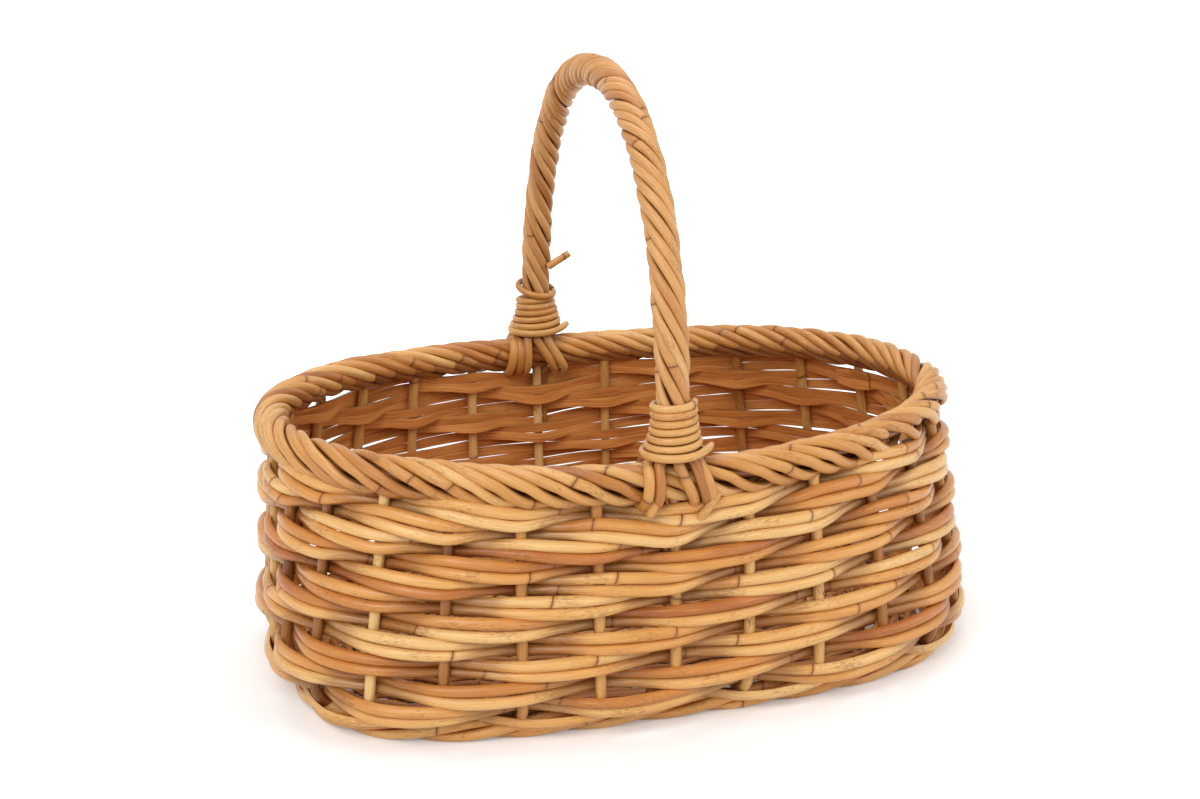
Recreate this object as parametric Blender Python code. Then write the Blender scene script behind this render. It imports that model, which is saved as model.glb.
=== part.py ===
"""Oval foraging basket woven from split and whole cane, with a roped hoop handle.

Blender 4.5, metres, +Z up. The origin is on the floor, under the middle of the oval.
+X runs along the oval, and the hoop of the handle stands across it.
"""

from math import acos, asin, atan, atan2, copysign, cos, pi, radians, sin, sqrt

import bmesh
import bpy
import numpy as np
from mathutils import Vector

# Rim and wall
RIM_HALF_LENGTH = 0.2125
RIM_HALF_WIDTH = 0.142
RIM_HEIGHT = 0.160
RIM_SADDLE = 0.0033
BORDER_RADIUS = 0.0108
WALL_SWELL = 0.0020
FOOT_STRETCH = 0.0125
FOOT_STRETCH_POWER = 2
FOOT_SQUARENESS = 3.2
RIM_SQUARENESS = 2.14
RIM_SHIFT = 0.0025
LEAN = 0.003

# Stakes
STAKE_COUNT = 27
STAKE_DIAMETER = 0.0064
STAKE_BEND_RADIUS = 0.0215
STAKE_BEND_STEPS = 3
STAKE_FOOT_HEIGHT = 0.0122
STAKE_FOOT_LENGTH = 0.0015
STAKE_CROWDING_SHARES = (-0.0056, 0.0049, -0.0060)
STAKE_HEIGHT_SHARES = (0, 0.2, 0.5, 1)

# Split cane of the wall, laid in pairs
CANE_WIDTH = 0.0061
CANE_DEPTH = 0.0034
CANE_VALLEY_SHARE = 0.4
STROKE_BULGE = 0.0016
LAYER_COUNT = 12
LAYER_TIGHTENING_SHARE = 0.25
STROKE_STAKES = 3
WINDOW_PHASE = 0

# Foot
FOOT_RADIUS = 0.005
FOOT_VALLEY_SHARE = 0.72
FOOT_STRANDS = 3
FOOT_FLAT = 0.0006

# Base
BASE_THICKNESS = 0.0088
BASE_GROOVE = 0.0012
BASE_ROWS = 4
BASE_CROWN = 0.006
STICK_DIAMETER = 0.0040
LONG_STICK_SPACING = 0.016
LONG_STICKS = 3
CROSS_STICK_SPACING = 0.055
CROSS_STICKS = 5

# Border rope
BORDER_STRANDS = 5
BORDER_VALLEY_SHARE = 0.8
BORDER_LAY = 0.142

# Handle
HANDLE_SHIFT = 0.0082
HANDLE_SKEW = 0.002
HANDLE_RISE = 0.2123
HANDLE_SIDE_POWER = 2.15
HANDLE_CROWN_POWER = 2.46
CORE_DIAMETER = 0.0084
STRAND_DIAMETER = 0.0048
STRAND_VALLEY_SHARE = 0.86
HANDLE_STRANDS = 8
HANDLE_LAY = 0.085

# Collars and the strand legs under them
COLLAR_CANE = 0.0043
COLLAR_PITCH = 0.00475
COLLAR_TURNS = 7
COLLAR_SEAT = 0.0022
LEG_SPREAD_HEIGHT = 0.020
LEG_SPREAD_SHARE = 1.5
LEG_TUCK_SHARE = 0.6
LEGS = 4

# Liner ends beside the stakes under the handle
LINER_WIDTH = 0.0036
LINER_THICKNESS = 0.0024
LINER_LENGTH = 0.046
LINER_POINT = 0.012
LINER_TIP_SHARE = 0.25

# Clearance and smoothness
GAP = 0.0003
SEAT = 0.0006
OVERRUN = 0.02
MERGE_DISTANCE = 0.000003
OVAL_SAMPLES = 720
RING_STEPS_PER_STAKE = 2
BORDER_STEPS_PER_TURN = 8
HANDLE_STEPS_PER_TURN = 8
COLLAR_STEPS_PER_TURN = 12
LEG_ARC_STEPS = 4
BASE_STEPS = 24
LONG_STICK_STEPS = 4
CROSS_STICK_STEPS = 2
CORE_STEPS = 30
SMOOTH_ANGLE = radians(50)

# Heights that follow from the sizes above
FOOT_HEIGHT = FOOT_RADIUS - FOOT_FLAT
BEND_TOP = STAKE_FOOT_HEIGHT + STAKE_BEND_RADIUS
BEND_OUTSIDE = STAKE_BEND_RADIUS + STAKE_DIAMETER / 2 + SEAT
BEND_WAY = BEND_OUTSIDE * pi / 2
FOOT_REACH = STAKE_BEND_RADIUS + STAKE_DIAMETER / 2 + GAP + FOOT_RADIUS
FOOT_TURN = acos((BEND_TOP - FOOT_HEIGHT) / FOOT_REACH)
PAIR_HEIGHT = 2 * CANE_WIDTH
STRAND_RING = CORE_DIAMETER / 2 + GAP + STRAND_DIAMETER / 2
ROPE_RADIUS = STRAND_RING + STRAND_DIAMETER / 2
TUCKED_DIAMETER = STRAND_DIAMETER * LEG_TUCK_SHARE
SIDE_RIM_HEIGHT = RIM_HEIGHT - RIM_SADDLE
BORDER_TOP = SIDE_RIM_HEIGHT + BORDER_RADIUS
COLLAR_BOTTOM = BORDER_TOP + COLLAR_SEAT
COLLAR_HEIGHT = COLLAR_TURNS * COLLAR_PITCH
ROPE_FOOT = COLLAR_BOTTOM + LEG_SPREAD_HEIGHT + GAP


def clear_scene():
    for obj in list(bpy.data.objects):
        bpy.data.objects.remove(obj, do_unlink=True)


def finish(name, colour, roughness):
    """A Principled material for one sub-part."""
    material = bpy.data.materials.new(name)
    material.use_nodes = True
    shader = material.node_tree.nodes["Principled BSDF"]
    shader.inputs["Base Color"].default_value = (*colour, 1.0)
    shader.inputs["Roughness"].default_value = roughness
    shader.inputs["Metallic"].default_value = 0.0
    return material


def add_object(name, data, material):
    obj = bpy.data.objects.new(name, data)
    bpy.context.scene.collection.objects.link(obj)
    data.materials.append(material)
    return obj


def loft(name, loops, material, closed):
    """A closed mesh through loops of points, capped at both ends or joined into a ring."""
    mesh = bpy.data.meshes.new(name)
    bm = bmesh.new()
    rows = [[bm.verts.new(point) for point in loop] for loop in loops]
    pairs = list(zip(rows, rows[1:]))
    if closed:
        pairs.append((rows[-1], rows[0]))
    else:
        bm.faces.new(rows[0])
        bm.faces.new(rows[-1])
    for near, far in pairs:
        for i in range(len(near)):
            j = (i + 1) % len(near)
            bm.faces.new((near[i], near[j], far[j], far[i]))
    bmesh.ops.recalc_face_normals(bm, faces=bm.faces)
    bm.to_mesh(mesh)
    bm.free()
    mesh.shade_smooth()
    mesh.set_sharp_from_angle(angle=SMOOTH_ANGLE)
    return add_object(name, mesh, material)


def cane(name, points, diameter, material, thickness_shares=None):
    """A round cane along points, as a curve with a bevel and filled caps."""
    curve = bpy.data.curves.new(name, "CURVE")
    curve.dimensions = "3D"
    curve.bevel_depth = diameter / 2
    curve.bevel_resolution = 1
    curve.use_fill_caps = True
    spline = curve.splines.new("POLY")
    spline.points.add(len(points) - 1)
    for i, point in enumerate(points):
        spline.points[i].co = (*point, 1)
        if thickness_shares:
            spline.points[i].radius = thickness_shares[i]
    return add_object(name, curve, material)


# Plan and meridian of the wall


def squareness(height):
    """Power of the oval at a height: squarer at the foot than at the rim."""
    share = min(max(height / RIM_HEIGHT, 0), 1)
    return FOOT_SQUARENESS + (RIM_SQUARENESS - FOOT_SQUARENESS) * share


def half_length(height):
    """Half length of the oval at a height: longer at the foot than at the rim."""
    share = min(max(height / RIM_HEIGHT, 0), 1)
    return RIM_HALF_LENGTH + FOOT_STRETCH * (1 - share) ** FOOT_STRETCH_POWER


def middle(height):
    """Place along the basket of the oval's middle at a height: the rim leans over towards -X."""
    share = min(max(height / RIM_HEIGHT, 0), 1)
    return LEAN * (1 - share) - RIM_SHIFT


def oval_point(angle, inset, height):
    """A point inset outside the oval at a height. The rim dips at the sides by its saddle."""
    power = squareness(height)
    half = half_length(height)
    along = abs(cos(angle) / half) ** power
    across = abs(sin(angle) / RIM_HALF_WIDTH) ** power
    radius = (along + across) ** (-1 / power)
    slope = Vector(
        (
            copysign(abs(cos(angle)) ** (power - 1) / half**power, cos(angle)),
            copysign(abs(sin(angle)) ** (power - 1) / RIM_HALF_WIDTH**power, sin(angle)),
            0,
        )
    )
    dip = RIM_SADDLE * cos(2 * angle) * (height / RIM_HEIGHT) ** 2
    spot = Vector((middle(height) + radius * cos(angle), radius * sin(angle), height + dip))
    return spot + slope.normalized() * inset


def stake_heights():
    """Heights above the bend between which a stake runs straight, closer together low down."""
    rise = RIM_HEIGHT - BORDER_RADIUS - GAP - BEND_TOP
    return [BEND_TOP + rise * share for share in STAKE_HEIGHT_SHARES]


def swell_inset(height):
    return WALL_SWELL * sin(pi * height / RIM_HEIGHT)


def wall_way(height):
    """Way up the wall to a height above the bend, counted along the bend's outside."""
    return BEND_WAY + height - BEND_TOP


def wall_place(way):
    """How far the stakes' line stands outside the oval, and its height, at a way up the wall."""
    if way < BEND_WAY:
        turn = way / BEND_OUTSIDE
        inset = swell_inset(BEND_TOP) - STAKE_BEND_RADIUS * (1 - sin(turn))
        return inset, BEND_TOP - STAKE_BEND_RADIUS * cos(turn)
    height = BEND_TOP + way - BEND_WAY
    heights = stake_heights()
    return float(np.interp(height, heights, [swell_inset(each) for each in heights])), height


STAKE_FOOT_INSET = wall_place(0)[0]
BASE_INSET = STAKE_FOOT_INSET - STAKE_FOOT_LENGTH - GAP


def wall_point(angle, way):
    return oval_point(angle, *wall_place(way))


def wall_frame(angle, way, reach):
    """Point, outward and upward directions of the stakes' surface, the last taken over reach."""
    step = pi / OVAL_SAMPLES
    point = wall_point(angle, way)
    along = wall_point(angle + step, way) - wall_point(angle - step, way)
    upward = (wall_point(angle, way + reach) - wall_point(angle, way - reach)).normalized()
    outward = along.cross(upward).normalized()
    return point, outward, upward


def oval_lengths(inset, height, start):
    """Angles round the oval from start, and the length of the way to each."""
    angles = [start + 2 * pi * i / OVAL_SAMPLES for i in range(OVAL_SAMPLES + 1)]
    points = [oval_point(angle, inset, height) for angle in angles]
    lengths = [0.0]
    for near, far in zip(points, points[1:]):
        lengths.append(lengths[-1] + (far - near).length)
    return angles, lengths


def even_angles(count, inset, height):
    """Angles that space count points evenly round the oval, from the +X end."""
    angles, lengths = oval_lengths(inset, height, 0.0)
    wanted = np.linspace(0, lengths[-1], count, endpoint=False)
    return [float(angle) for angle in np.interp(wanted, lengths, angles)]


def stake_angles(steps_per_stake):
    """Angles of the stakes and of the steps between them, from under the near handle foot.

    The stakes stand closer at the near side, and one stands under each foot of the handle.
    """
    start = atan2(-RIM_HALF_WIDTH, hoop_place(-1) - middle(RIM_HEIGHT))
    angles, lengths = oval_lengths(WALL_SWELL, RIM_HEIGHT / 2, start)
    far_foot = atan2(RIM_HALF_WIDTH, hoop_place(1) - middle(RIM_HEIGHT))
    far_share = float(np.interp(far_foot, angles, lengths)) / lengths[-1]

    def crowded(share):
        first, second, third = STAKE_CROWDING_SHARES
        turn = 2 * pi * share
        return share + first * sin(turn) + second * sin(2 * turn) + third * sin(turn) ** 2

    drift = far_share - crowded(STAKE_COUNT // 2 / STAKE_COUNT)
    wanted = []
    for step in range(STAKE_COUNT * steps_per_stake):
        share = step / (STAKE_COUNT * steps_per_stake)
        wanted.append(crowded(share) + drift * sin(pi * share) ** 2)
    wanted = np.array(wanted) * lengths[-1]
    return [float(angle) for angle in np.interp(wanted, lengths, angles)]


# Stakes and wall weave


def stake(number, angle, material):
    """One upright stake, from the edge of the base, round the bend and up to the border."""
    points = [oval_point(angle, STAKE_FOOT_INSET - STAKE_FOOT_LENGTH, STAKE_FOOT_HEIGHT)]
    for step in range(STAKE_BEND_STEPS):
        points.append(wall_point(angle, BEND_WAY * step / STAKE_BEND_STEPS))
    points += [wall_point(angle, wall_way(height)) for height in stake_heights()]
    return cane(f"stake_{number:02d}", points, STAKE_DIAMETER, material)


def layer_way(layer):
    """Way up the wall to the middle of a pair. The pairs lie closer together towards the top.

    The lowest pair clears the foot, and the highest, lifted, clears the legs under the border.
    """
    lowest = FOOT_TURN + asin(FOOT_RADIUS / FOOT_REACH) + atan(CANE_WIDTH / BEND_OUTSIDE)
    first = BEND_OUTSIDE * lowest + GAP
    under = RIM_HEIGHT - BORDER_RADIUS - TUCKED_DIAMETER - 3 * GAP - CANE_WIDTH
    under = under - RIM_SADDLE * (1 - (under / RIM_HEIGHT) ** 2)
    lift_share = (1 - LAYER_TIGHTENING_SHARE) / (2 * (LAYER_COUNT - 1))
    last = wall_way(under) - (PAIR_HEIGHT + GAP) / 2 - lift_share * first
    last = last / (1 - lift_share)
    share = layer / (LAYER_COUNT - 1)
    return first + (last - first) * (share + LAYER_TIGHTENING_SHARE * share * (1 - share))


def pair_profile(height_share):
    """Outline of two half-round canes laid one above the other, flat side inwards."""
    top = PAIR_HEIGHT / 2 * height_share
    valley = CANE_DEPTH * CANE_VALLEY_SHARE
    return [(0, top), (CANE_DEPTH, top / 2), (valley, 0), (CANE_DEPTH, -top / 2), (0, -top)]


def pair_places(layer):
    """Depth of the flat side, lift and height share of a pair at each half step of its stroke.

    It lies behind stake 0, crosses out, lies before stakes 1 and 2, and crosses in again.
    """
    way = layer_way(layer)
    above = layer_way(layer + 1) - way
    below = way - layer_way(layer - 1)
    squeeze = 1 - 2 * RIM_SADDLE * wall_place(way)[1] / RIM_HEIGHT**2
    room = min(above, below) * squeeze
    front = STAKE_DIAMETER / 2 + SEAT
    behind = -front - CANE_DEPTH
    if way < BEND_WAY + CANE_WIDTH:
        inner = STAKE_BEND_RADIUS - STAKE_DIAMETER / 2
        chord = STAKE_BEND_RADIUS * (1 - cos(pi / (4 * STAKE_BEND_STEPS)))
        behind -= CANE_WIDTH**2 / (2 * inner) + chord
        room *= (STAKE_BEND_RADIUS - CANE_DEPTH / 2) / BEND_OUTSIDE
    pinch = min((room - GAP) / PAIR_HEIGHT, 1)
    up = (PAIR_HEIGHT + GAP - below * squeeze) / 2
    down = (PAIR_HEIGHT + GAP - above * squeeze) / 2
    crossing = -CANE_DEPTH / 2
    return [
        (behind, 0, 1),
        (crossing, 0, pinch),
        (front, up, 1),
        (front + STROKE_BULGE, 0, 1),
        (front, -down, 1),
        (crossing, 0, pinch),
    ]


def wale_pair(layer, angles, material):
    """One round of the wall: a pair of canes before two stakes and behind one."""
    way = layer_way(layer)
    places = pair_places(layer)
    loops = []
    for step, angle in enumerate(angles):
        phase = (step - (layer + WINDOW_PHASE) * RING_STEPS_PER_STAKE) % len(places)
        depth, lift, share = places[phase]
        point, outward, upward = wall_frame(angle, way, CANE_WIDTH / 2)
        loops.append(
            [
                point + outward * (depth + out) + upward * (lift + up)
                for out, up in pair_profile(share)
            ]
        )
    return loft(f"wale_pair_{layer + 1:02d}", loops, material, closed=True)


# Closed ropes


def rope_loop(centre, across, upward, radius, valley_share, strands, turn):
    """One lobed section of a laid rope, with a crest for each strand."""
    loop = []
    for i in range(2 * strands):
        reach = radius * (1 if i % 2 == 0 else valley_share)
        angle = turn + pi * i / strands
        loop.append(centre + across * (reach * cos(angle)) + upward * (reach * sin(angle)))
    return loop


def closed_rope(name, inset, height, radius, valley_share, strands, turns, steps, material):
    """A rope laid round the oval. Seen from outside, its strands rise to the right.

    With negative turns they fall to the right. A crest faces down at the start.
    """
    angles = even_angles(steps, inset, height)
    loops = []
    for step, angle in enumerate(angles):
        centre = oval_point(angle, inset, height)
        along = oval_point(angle + pi / OVAL_SAMPLES, inset, height) - centre
        outward = along.cross(Vector((0, 0, 1))).normalized()
        turn = 2 * pi * turns * step / steps - pi / 2
        loops.append(
            rope_loop(centre, outward, Vector((0, 0, 1)), radius, valley_share, strands, turn)
        )
    return loft(name, loops, material, closed=True)


def border(material):
    length = 2 * pi * sqrt((RIM_HALF_LENGTH**2 + RIM_HALF_WIDTH**2) / 2)
    turns = round(length / BORDER_LAY)
    steps = turns * BORDER_STEPS_PER_TURN
    return closed_rope(
        "rope_border",
        0.0,
        RIM_HEIGHT,
        BORDER_RADIUS,
        BORDER_VALLEY_SHARE,
        BORDER_STRANDS,
        -turns,
        steps,
        material,
    )


def box_cutter(name, centre, size):
    """A hidden block for a Boolean cut."""
    mesh = bpy.data.meshes.new(name)
    bm = bmesh.new()
    bmesh.ops.create_cube(bm, size=1)
    bmesh.ops.scale(bm, vec=size, verts=bm.verts)
    bmesh.ops.translate(bm, vec=centre, verts=bm.verts)
    bm.to_mesh(mesh)
    bm.free()
    cutter = bpy.data.objects.new(name, mesh)
    bpy.context.scene.collection.objects.link(cutter)
    hide(cutter)
    return cutter


def hide(obj):
    obj.hide_render = True
    obj.display_type = "WIRE"


def cut(obj, cutter):
    modifier = obj.modifiers.new(cutter.name, "BOOLEAN")
    modifier.operation = "DIFFERENCE"
    modifier.solver = "EXACT"
    modifier.object = cutter


def foot_wale(material):
    """The rope-like bottom round, outside the stakes' bend and cut flat to stand on."""
    inset = STAKE_FOOT_INSET + FOOT_REACH * sin(FOOT_TURN)
    rope = closed_rope(
        "foot_wale",
        inset,
        FOOT_HEIGHT,
        FOOT_RADIUS,
        FOOT_VALLEY_SHARE,
        FOOT_STRANDS,
        STAKE_COUNT // STROKE_STAKES,
        STAKE_COUNT * RING_STEPS_PER_STAKE,
        material,
    )
    size = (
        2 * (half_length(0) + OVERRUN),
        2 * (RIM_HALF_WIDTH + OVERRUN),
        2 * FOOT_RADIUS,
    )
    cut(rope, box_cutter("floor_cut", (0, 0, -FOOT_RADIUS), size))
    return rope


# Base


def base_height(x, y):
    """Middle of the base's thickness, raised in the middle of the oval."""
    power = squareness(STAKE_FOOT_HEIGHT)
    reach = half_length(STAKE_FOOT_HEIGHT) + BASE_INSET
    along = abs((x - middle(STAKE_FOOT_HEIGHT)) / reach) ** power
    across = abs(y / (RIM_HALF_WIDTH + BASE_INSET)) ** power
    share = min((along + across) ** (1 / power), 1)
    return STAKE_FOOT_HEIGHT + BASE_CROWN * (1 - share**2)


def stick_points(start, end, steps):
    points = []
    for i in range(steps + 1):
        spot = start.lerp(end, i / steps)
        points.append(Vector((spot.x, spot.y, base_height(spot.x, spot.y))))
    return points


def stick_lines():
    """Start and end of each base stick: long ones first, then the cross ones."""
    long_half = half_length(STAKE_FOOT_HEIGHT) + BASE_INSET - STICK_DIAMETER
    wide_half = RIM_HALF_WIDTH + BASE_INSET - STICK_DIAMETER
    centre = middle(STAKE_FOOT_HEIGHT)
    lines = []
    for i in range(LONG_STICKS):
        y = (i - (LONG_STICKS - 1) / 2) * LONG_STICK_SPACING
        lines.append((Vector((centre - long_half, y)), Vector((centre + long_half, y))))
    for i in range(CROSS_STICKS):
        x = (i - (CROSS_STICKS - 1) / 2) * CROSS_STICK_SPACING
        power = squareness(STAKE_FOOT_HEIGHT)
        reach = wide_half * (1 - (abs(x) / long_half) ** power) ** (1 / power)
        lines.append((Vector((centre + x, -reach)), Vector((centre + x, reach))))
    return lines


def mesh_from_curve(obj):
    """The object with its curve turned into a mesh, which a Boolean needs."""
    bpy.context.view_layer.update()
    evaluated = obj.evaluated_get(bpy.context.evaluated_depsgraph_get())
    mesh = bpy.data.meshes.new_from_object(evaluated)
    bm = bmesh.new()
    bm.from_mesh(mesh)
    bmesh.ops.remove_doubles(bm, verts=bm.verts, dist=MERGE_DISTANCE)
    bmesh.ops.recalc_face_normals(bm, faces=bm.faces)
    bm.to_mesh(mesh)
    bm.free()
    name = obj.name
    bpy.data.objects.remove(obj, do_unlink=True)
    made = bpy.data.objects.new(name, mesh)
    bpy.context.scene.collection.objects.link(made)
    return made


def base_slath(material):
    """The crossed sticks that the base is woven on, the long ones through the cross ones."""
    solids = []
    for number, (start, end) in enumerate(stick_lines()):
        steps = LONG_STICK_STEPS if number < LONG_STICKS else CROSS_STICK_STEPS
        tube = cane(f"stick_{number}", stick_points(start, end, steps), STICK_DIAMETER, material)
        solids.append(mesh_from_curve(tube))
    slath = solids[0]
    slath.name = "base_slath"
    for other in solids[LONG_STICKS:] + solids[1:LONG_STICKS]:
        join = slath.modifiers.new(other.name, "BOOLEAN")
        join.operation = "UNION"
        join.solver = "EXACT"
        join.object = other
        hide(other)
    return slath


def base_weave(material):
    """The woven oval of the base, high and low by turns, with a way through for each stick."""
    centre = middle(STAKE_FOOT_HEIGHT)
    loops = []
    for step in range(BASE_STEPS):
        angle = 2 * pi * step / BASE_STEPS
        edge = oval_point(angle, BASE_INSET, STAKE_FOOT_HEIGHT)
        upper = []
        for row in range(1, 2 * BASE_ROWS + 1):
            share = row / (2 * BASE_ROWS)
            ridge = BASE_THICKNESS / 2 - (BASE_GROOVE if (row + step) % 2 else 0)
            x = centre + (edge.x - centre) * share
            y = edge.y * share
            upper.append((x, y, base_height(x, y), ridge))
        top = [Vector((x, y, middle + ridge)) for x, y, middle, ridge in upper]
        under = [Vector((x, y, middle - ridge)) for x, y, middle, ridge in reversed(upper)]
        loops.append(top + under)
    mesh = bpy.data.meshes.new("base_weave")
    bm = bmesh.new()
    rows = [[bm.verts.new(point) for point in loop] for loop in loops]
    crown = bm.verts.new((centre, 0, base_height(centre, 0) + BASE_THICKNESS / 2))
    keel = bm.verts.new((centre, 0, base_height(centre, 0) - BASE_THICKNESS / 2))
    for near, far in zip(rows, rows[1:] + rows[:1]):
        bm.faces.new((crown, near[0], far[0]))
        bm.faces.new((keel, far[-1], near[-1]))
        for i in range(len(near) - 1):
            bm.faces.new((near[i], near[i + 1], far[i + 1], far[i]))
    bmesh.ops.recalc_face_normals(bm, faces=bm.faces)
    bm.to_mesh(mesh)
    bm.free()
    mesh.shade_smooth()
    weave = add_object("base_weave", mesh, material)
    for number, (start, end) in enumerate(stick_lines()):
        along = (end - start).normalized()
        steps = LONG_STICK_STEPS if number < LONG_STICKS else CROSS_STICK_STEPS
        points = stick_points(start, end, steps)
        points.insert(0, points[0] - Vector((along.x, along.y, 0)) * OVERRUN)
        points.append(points[-1] + Vector((along.x, along.y, 0)) * OVERRUN)
        width = STICK_DIAMETER + 2 * GAP
        way = mesh_from_curve(cane(f"stick_way_{number}", points, width, material))
        hide(way)
        cut(weave, way)
    return weave


# Handle


def hoop_place(side):
    """Place along the basket of the hoop's near (-1) or far (1) foot, and of its crown (0)."""
    return middle(RIM_HEIGHT) - HANDLE_SHIFT - side * HANDLE_SKEW


def hoop_point(turn):
    """A point of the handle's middle line, from the near foot at 0 over to the far foot at pi."""
    side = cos(turn)
    across = RIM_HALF_WIDTH * abs(side) ** (2 / HANDLE_SIDE_POWER)
    rise = HANDLE_RISE * sin(turn) ** (2 / HANDLE_CROWN_POWER)
    y = -across if side > 0 else across
    return Vector((hoop_place(y / RIM_HALF_WIDTH), y, SIDE_RIM_HEIGHT + rise))


def hoop_side(side, height):
    """Place across the basket of the hoop's near (-1) or far (1) leg at a height."""
    share = max(height - SIDE_RIM_HEIGHT, 0) / HANDLE_RISE
    return -side * hoop_point(asin(share ** (HANDLE_CROWN_POWER / 2))).y


def hoop_line(low, steps):
    """Evenly spaced points of the hoop that lie above the height low."""
    samples = [hoop_point(pi * i / OVAL_SAMPLES) for i in range(OVAL_SAMPLES + 1)]
    samples[0].z = samples[-1].z = SIDE_RIM_HEIGHT
    heights = [point.z for point in samples[: OVAL_SAMPLES // 2]]
    lengths = [0.0]
    for near, far in zip(samples, samples[1:]):
        lengths.append(lengths[-1] + (far - near).length)
    start = float(np.interp(low, heights, lengths[: len(heights)]))
    wanted = np.linspace(start, lengths[-1] - start, steps + 1)
    columns = [np.interp(wanted, lengths, [point[k] for point in samples]) for k in range(3)]
    return [Vector(spot) for spot in zip(*columns)], float(wanted[-1] - wanted[0])


def hoop_frames(points):
    """Directions across the hoop's plane and in it, square to the line at each point."""
    frames = []
    sideways = Vector((RIM_HALF_WIDTH, HANDLE_SKEW, 0)).normalized()
    for i, point in enumerate(points):
        before = points[max(i - 1, 0)]
        after = points[min(i + 1, len(points) - 1)]
        along = (after - before).normalized()
        if i in (0, len(points) - 1):
            along = Vector((0, 0, 1 if i == 0 else -1))
        frames.append((point, sideways, along.cross(sideways).normalized()))
    return frames


def handle_core(material):
    points, _ = hoop_line(BORDER_TOP + GAP, CORE_STEPS)
    return cane("handle_core", points, CORE_DIAMETER, material)


def handle_rope(material):
    """The strands laid round the core, fused side by side, with a bore for the core."""
    _, length = hoop_line(ROPE_FOOT, CORE_STEPS)
    steps = round(length / HANDLE_LAY * HANDLE_STEPS_PER_TURN)
    points, _ = hoop_line(ROPE_FOOT, steps)
    outer = []
    for step, (centre, sideways, inward) in enumerate(hoop_frames(points)):
        turn = -2 * pi * step / HANDLE_STEPS_PER_TURN
        outer.append(
            rope_loop(
                centre,
                sideways,
                inward,
                ROPE_RADIUS,
                STRAND_VALLEY_SHARE,
                HANDLE_STRANDS,
                turn,
            )
        )
    rope = loft("handle_rope", outer, material, closed=False)
    bore_points, _ = hoop_line(BORDER_TOP + GAP, CORE_STEPS)
    bore = cane("core_way", bore_points, CORE_DIAMETER + 2 * GAP, material)
    bore = mesh_from_curve(bore)
    hide(bore)
    cut(rope, bore)
    return rope


def leg_points(side, share):
    """Line of a strand that leaves the rope, straddles the border and comes back up.

    side is -1 at the near foot and 1 at the far foot, and share places the leg round the foot.
    """
    spread = (pi - pi / LEGS) / 2 * share
    top = ROPE_FOOT - GAP
    start = []
    wide = BORDER_RADIUS + GAP + STRAND_DIAMETER / 2
    for height, ring in (
        (top, STRAND_RING),
        (top - STRAND_DIAMETER, STRAND_RING),
        ((top + COLLAR_BOTTOM) / 2, (STRAND_RING + wide) / 2),
        (COLLAR_BOTTOM, wide),
    ):
        start.append((ring * sin(spread), ring * cos(spread), height, 1.0))
    x, y, _, _ = start[-1]
    first = asin(min(y / wide, 1))
    arc = []
    # The corners of the arc stand out, so that its straight runs clear the border.
    corner = 1 / cos((pi - first) / (2 * LEG_ARC_STEPS))
    for i in range(1, LEG_ARC_STEPS + 1):
        done = i / LEG_ARC_STEPS
        angle = first + (pi - first) * done
        thickness = 1 - (1 - LEG_TUCK_SHARE) * max(2 * done - 1, 0)
        reach = BORDER_RADIUS + GAP + thickness * STRAND_DIAMETER / 2
        reach = reach * (corner if i < LEG_ARC_STEPS else 1)
        spread_x = x * (1 + (LEG_SPREAD_SHARE - 1) * done)
        height = SIDE_RIM_HEIGHT + reach * cos(angle)
        arc.append((spread_x, reach * sin(angle), height, thickness))
    way = start + arc
    back = [(px, -py, pz, thickness) for px, py, pz, thickness in reversed(way[:-1])]
    points = [
        Vector((hoop_place(side) + px, hoop_side(side, pz) + py, pz))
        for px, py, pz, _ in way + back
    ]
    return points, [thickness for _, _, _, thickness in way + back]


def legs(side, word, material):
    """The strands at a foot of the handle, spread evenly round it."""
    for number in range(LEGS):
        share = 2 * number / (LEGS - 1) - 1
        points, shares = leg_points(side, share)
        cane(f"{word}_strand_leg_{number + 1}", points, STRAND_DIAMETER, material, shares)


def collar_line(side):
    """Middle line of the winding round a handle foot, wide at the bottom."""
    steps = COLLAR_TURNS * COLLAR_STEPS_PER_TURN
    wide = BORDER_RADIUS + 2 * GAP + STRAND_DIAMETER + COLLAR_CANE / 2
    slim = ROPE_RADIUS + GAP + COLLAR_CANE / 2
    wide = wide / cos(pi / COLLAR_STEPS_PER_TURN)
    points = []
    for step in range(steps + 1):
        share = step / steps
        height = COLLAR_BOTTOM + COLLAR_CANE / 2 + COLLAR_HEIGHT * share
        radius = wide + (slim - wide) * share
        turn = 2 * pi * step / COLLAR_STEPS_PER_TURN
        y = hoop_side(side, height) + radius * sin(turn)
        points.append(Vector((hoop_place(side) + radius * cos(turn), y, height)))
    return points


def least_gap(points, diameter, skip):
    """Least clear distance between a tube's turns, measured on its points."""
    least = None
    for i, point in enumerate(points):
        for other in points[i + skip :]:
            distance = (other - point).length - diameter
            least = distance if least is None else min(least, distance)
    return least


def collar(side, word, material):
    points = collar_line(side)
    gap = least_gap(points, COLLAR_CANE, COLLAR_STEPS_PER_TURN // 2)
    print(f"{word}_collar: least gap between turns {gap * 1000:.2f} mm")
    return cane(f"{word}_collar", points, COLLAR_CANE, material)


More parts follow.
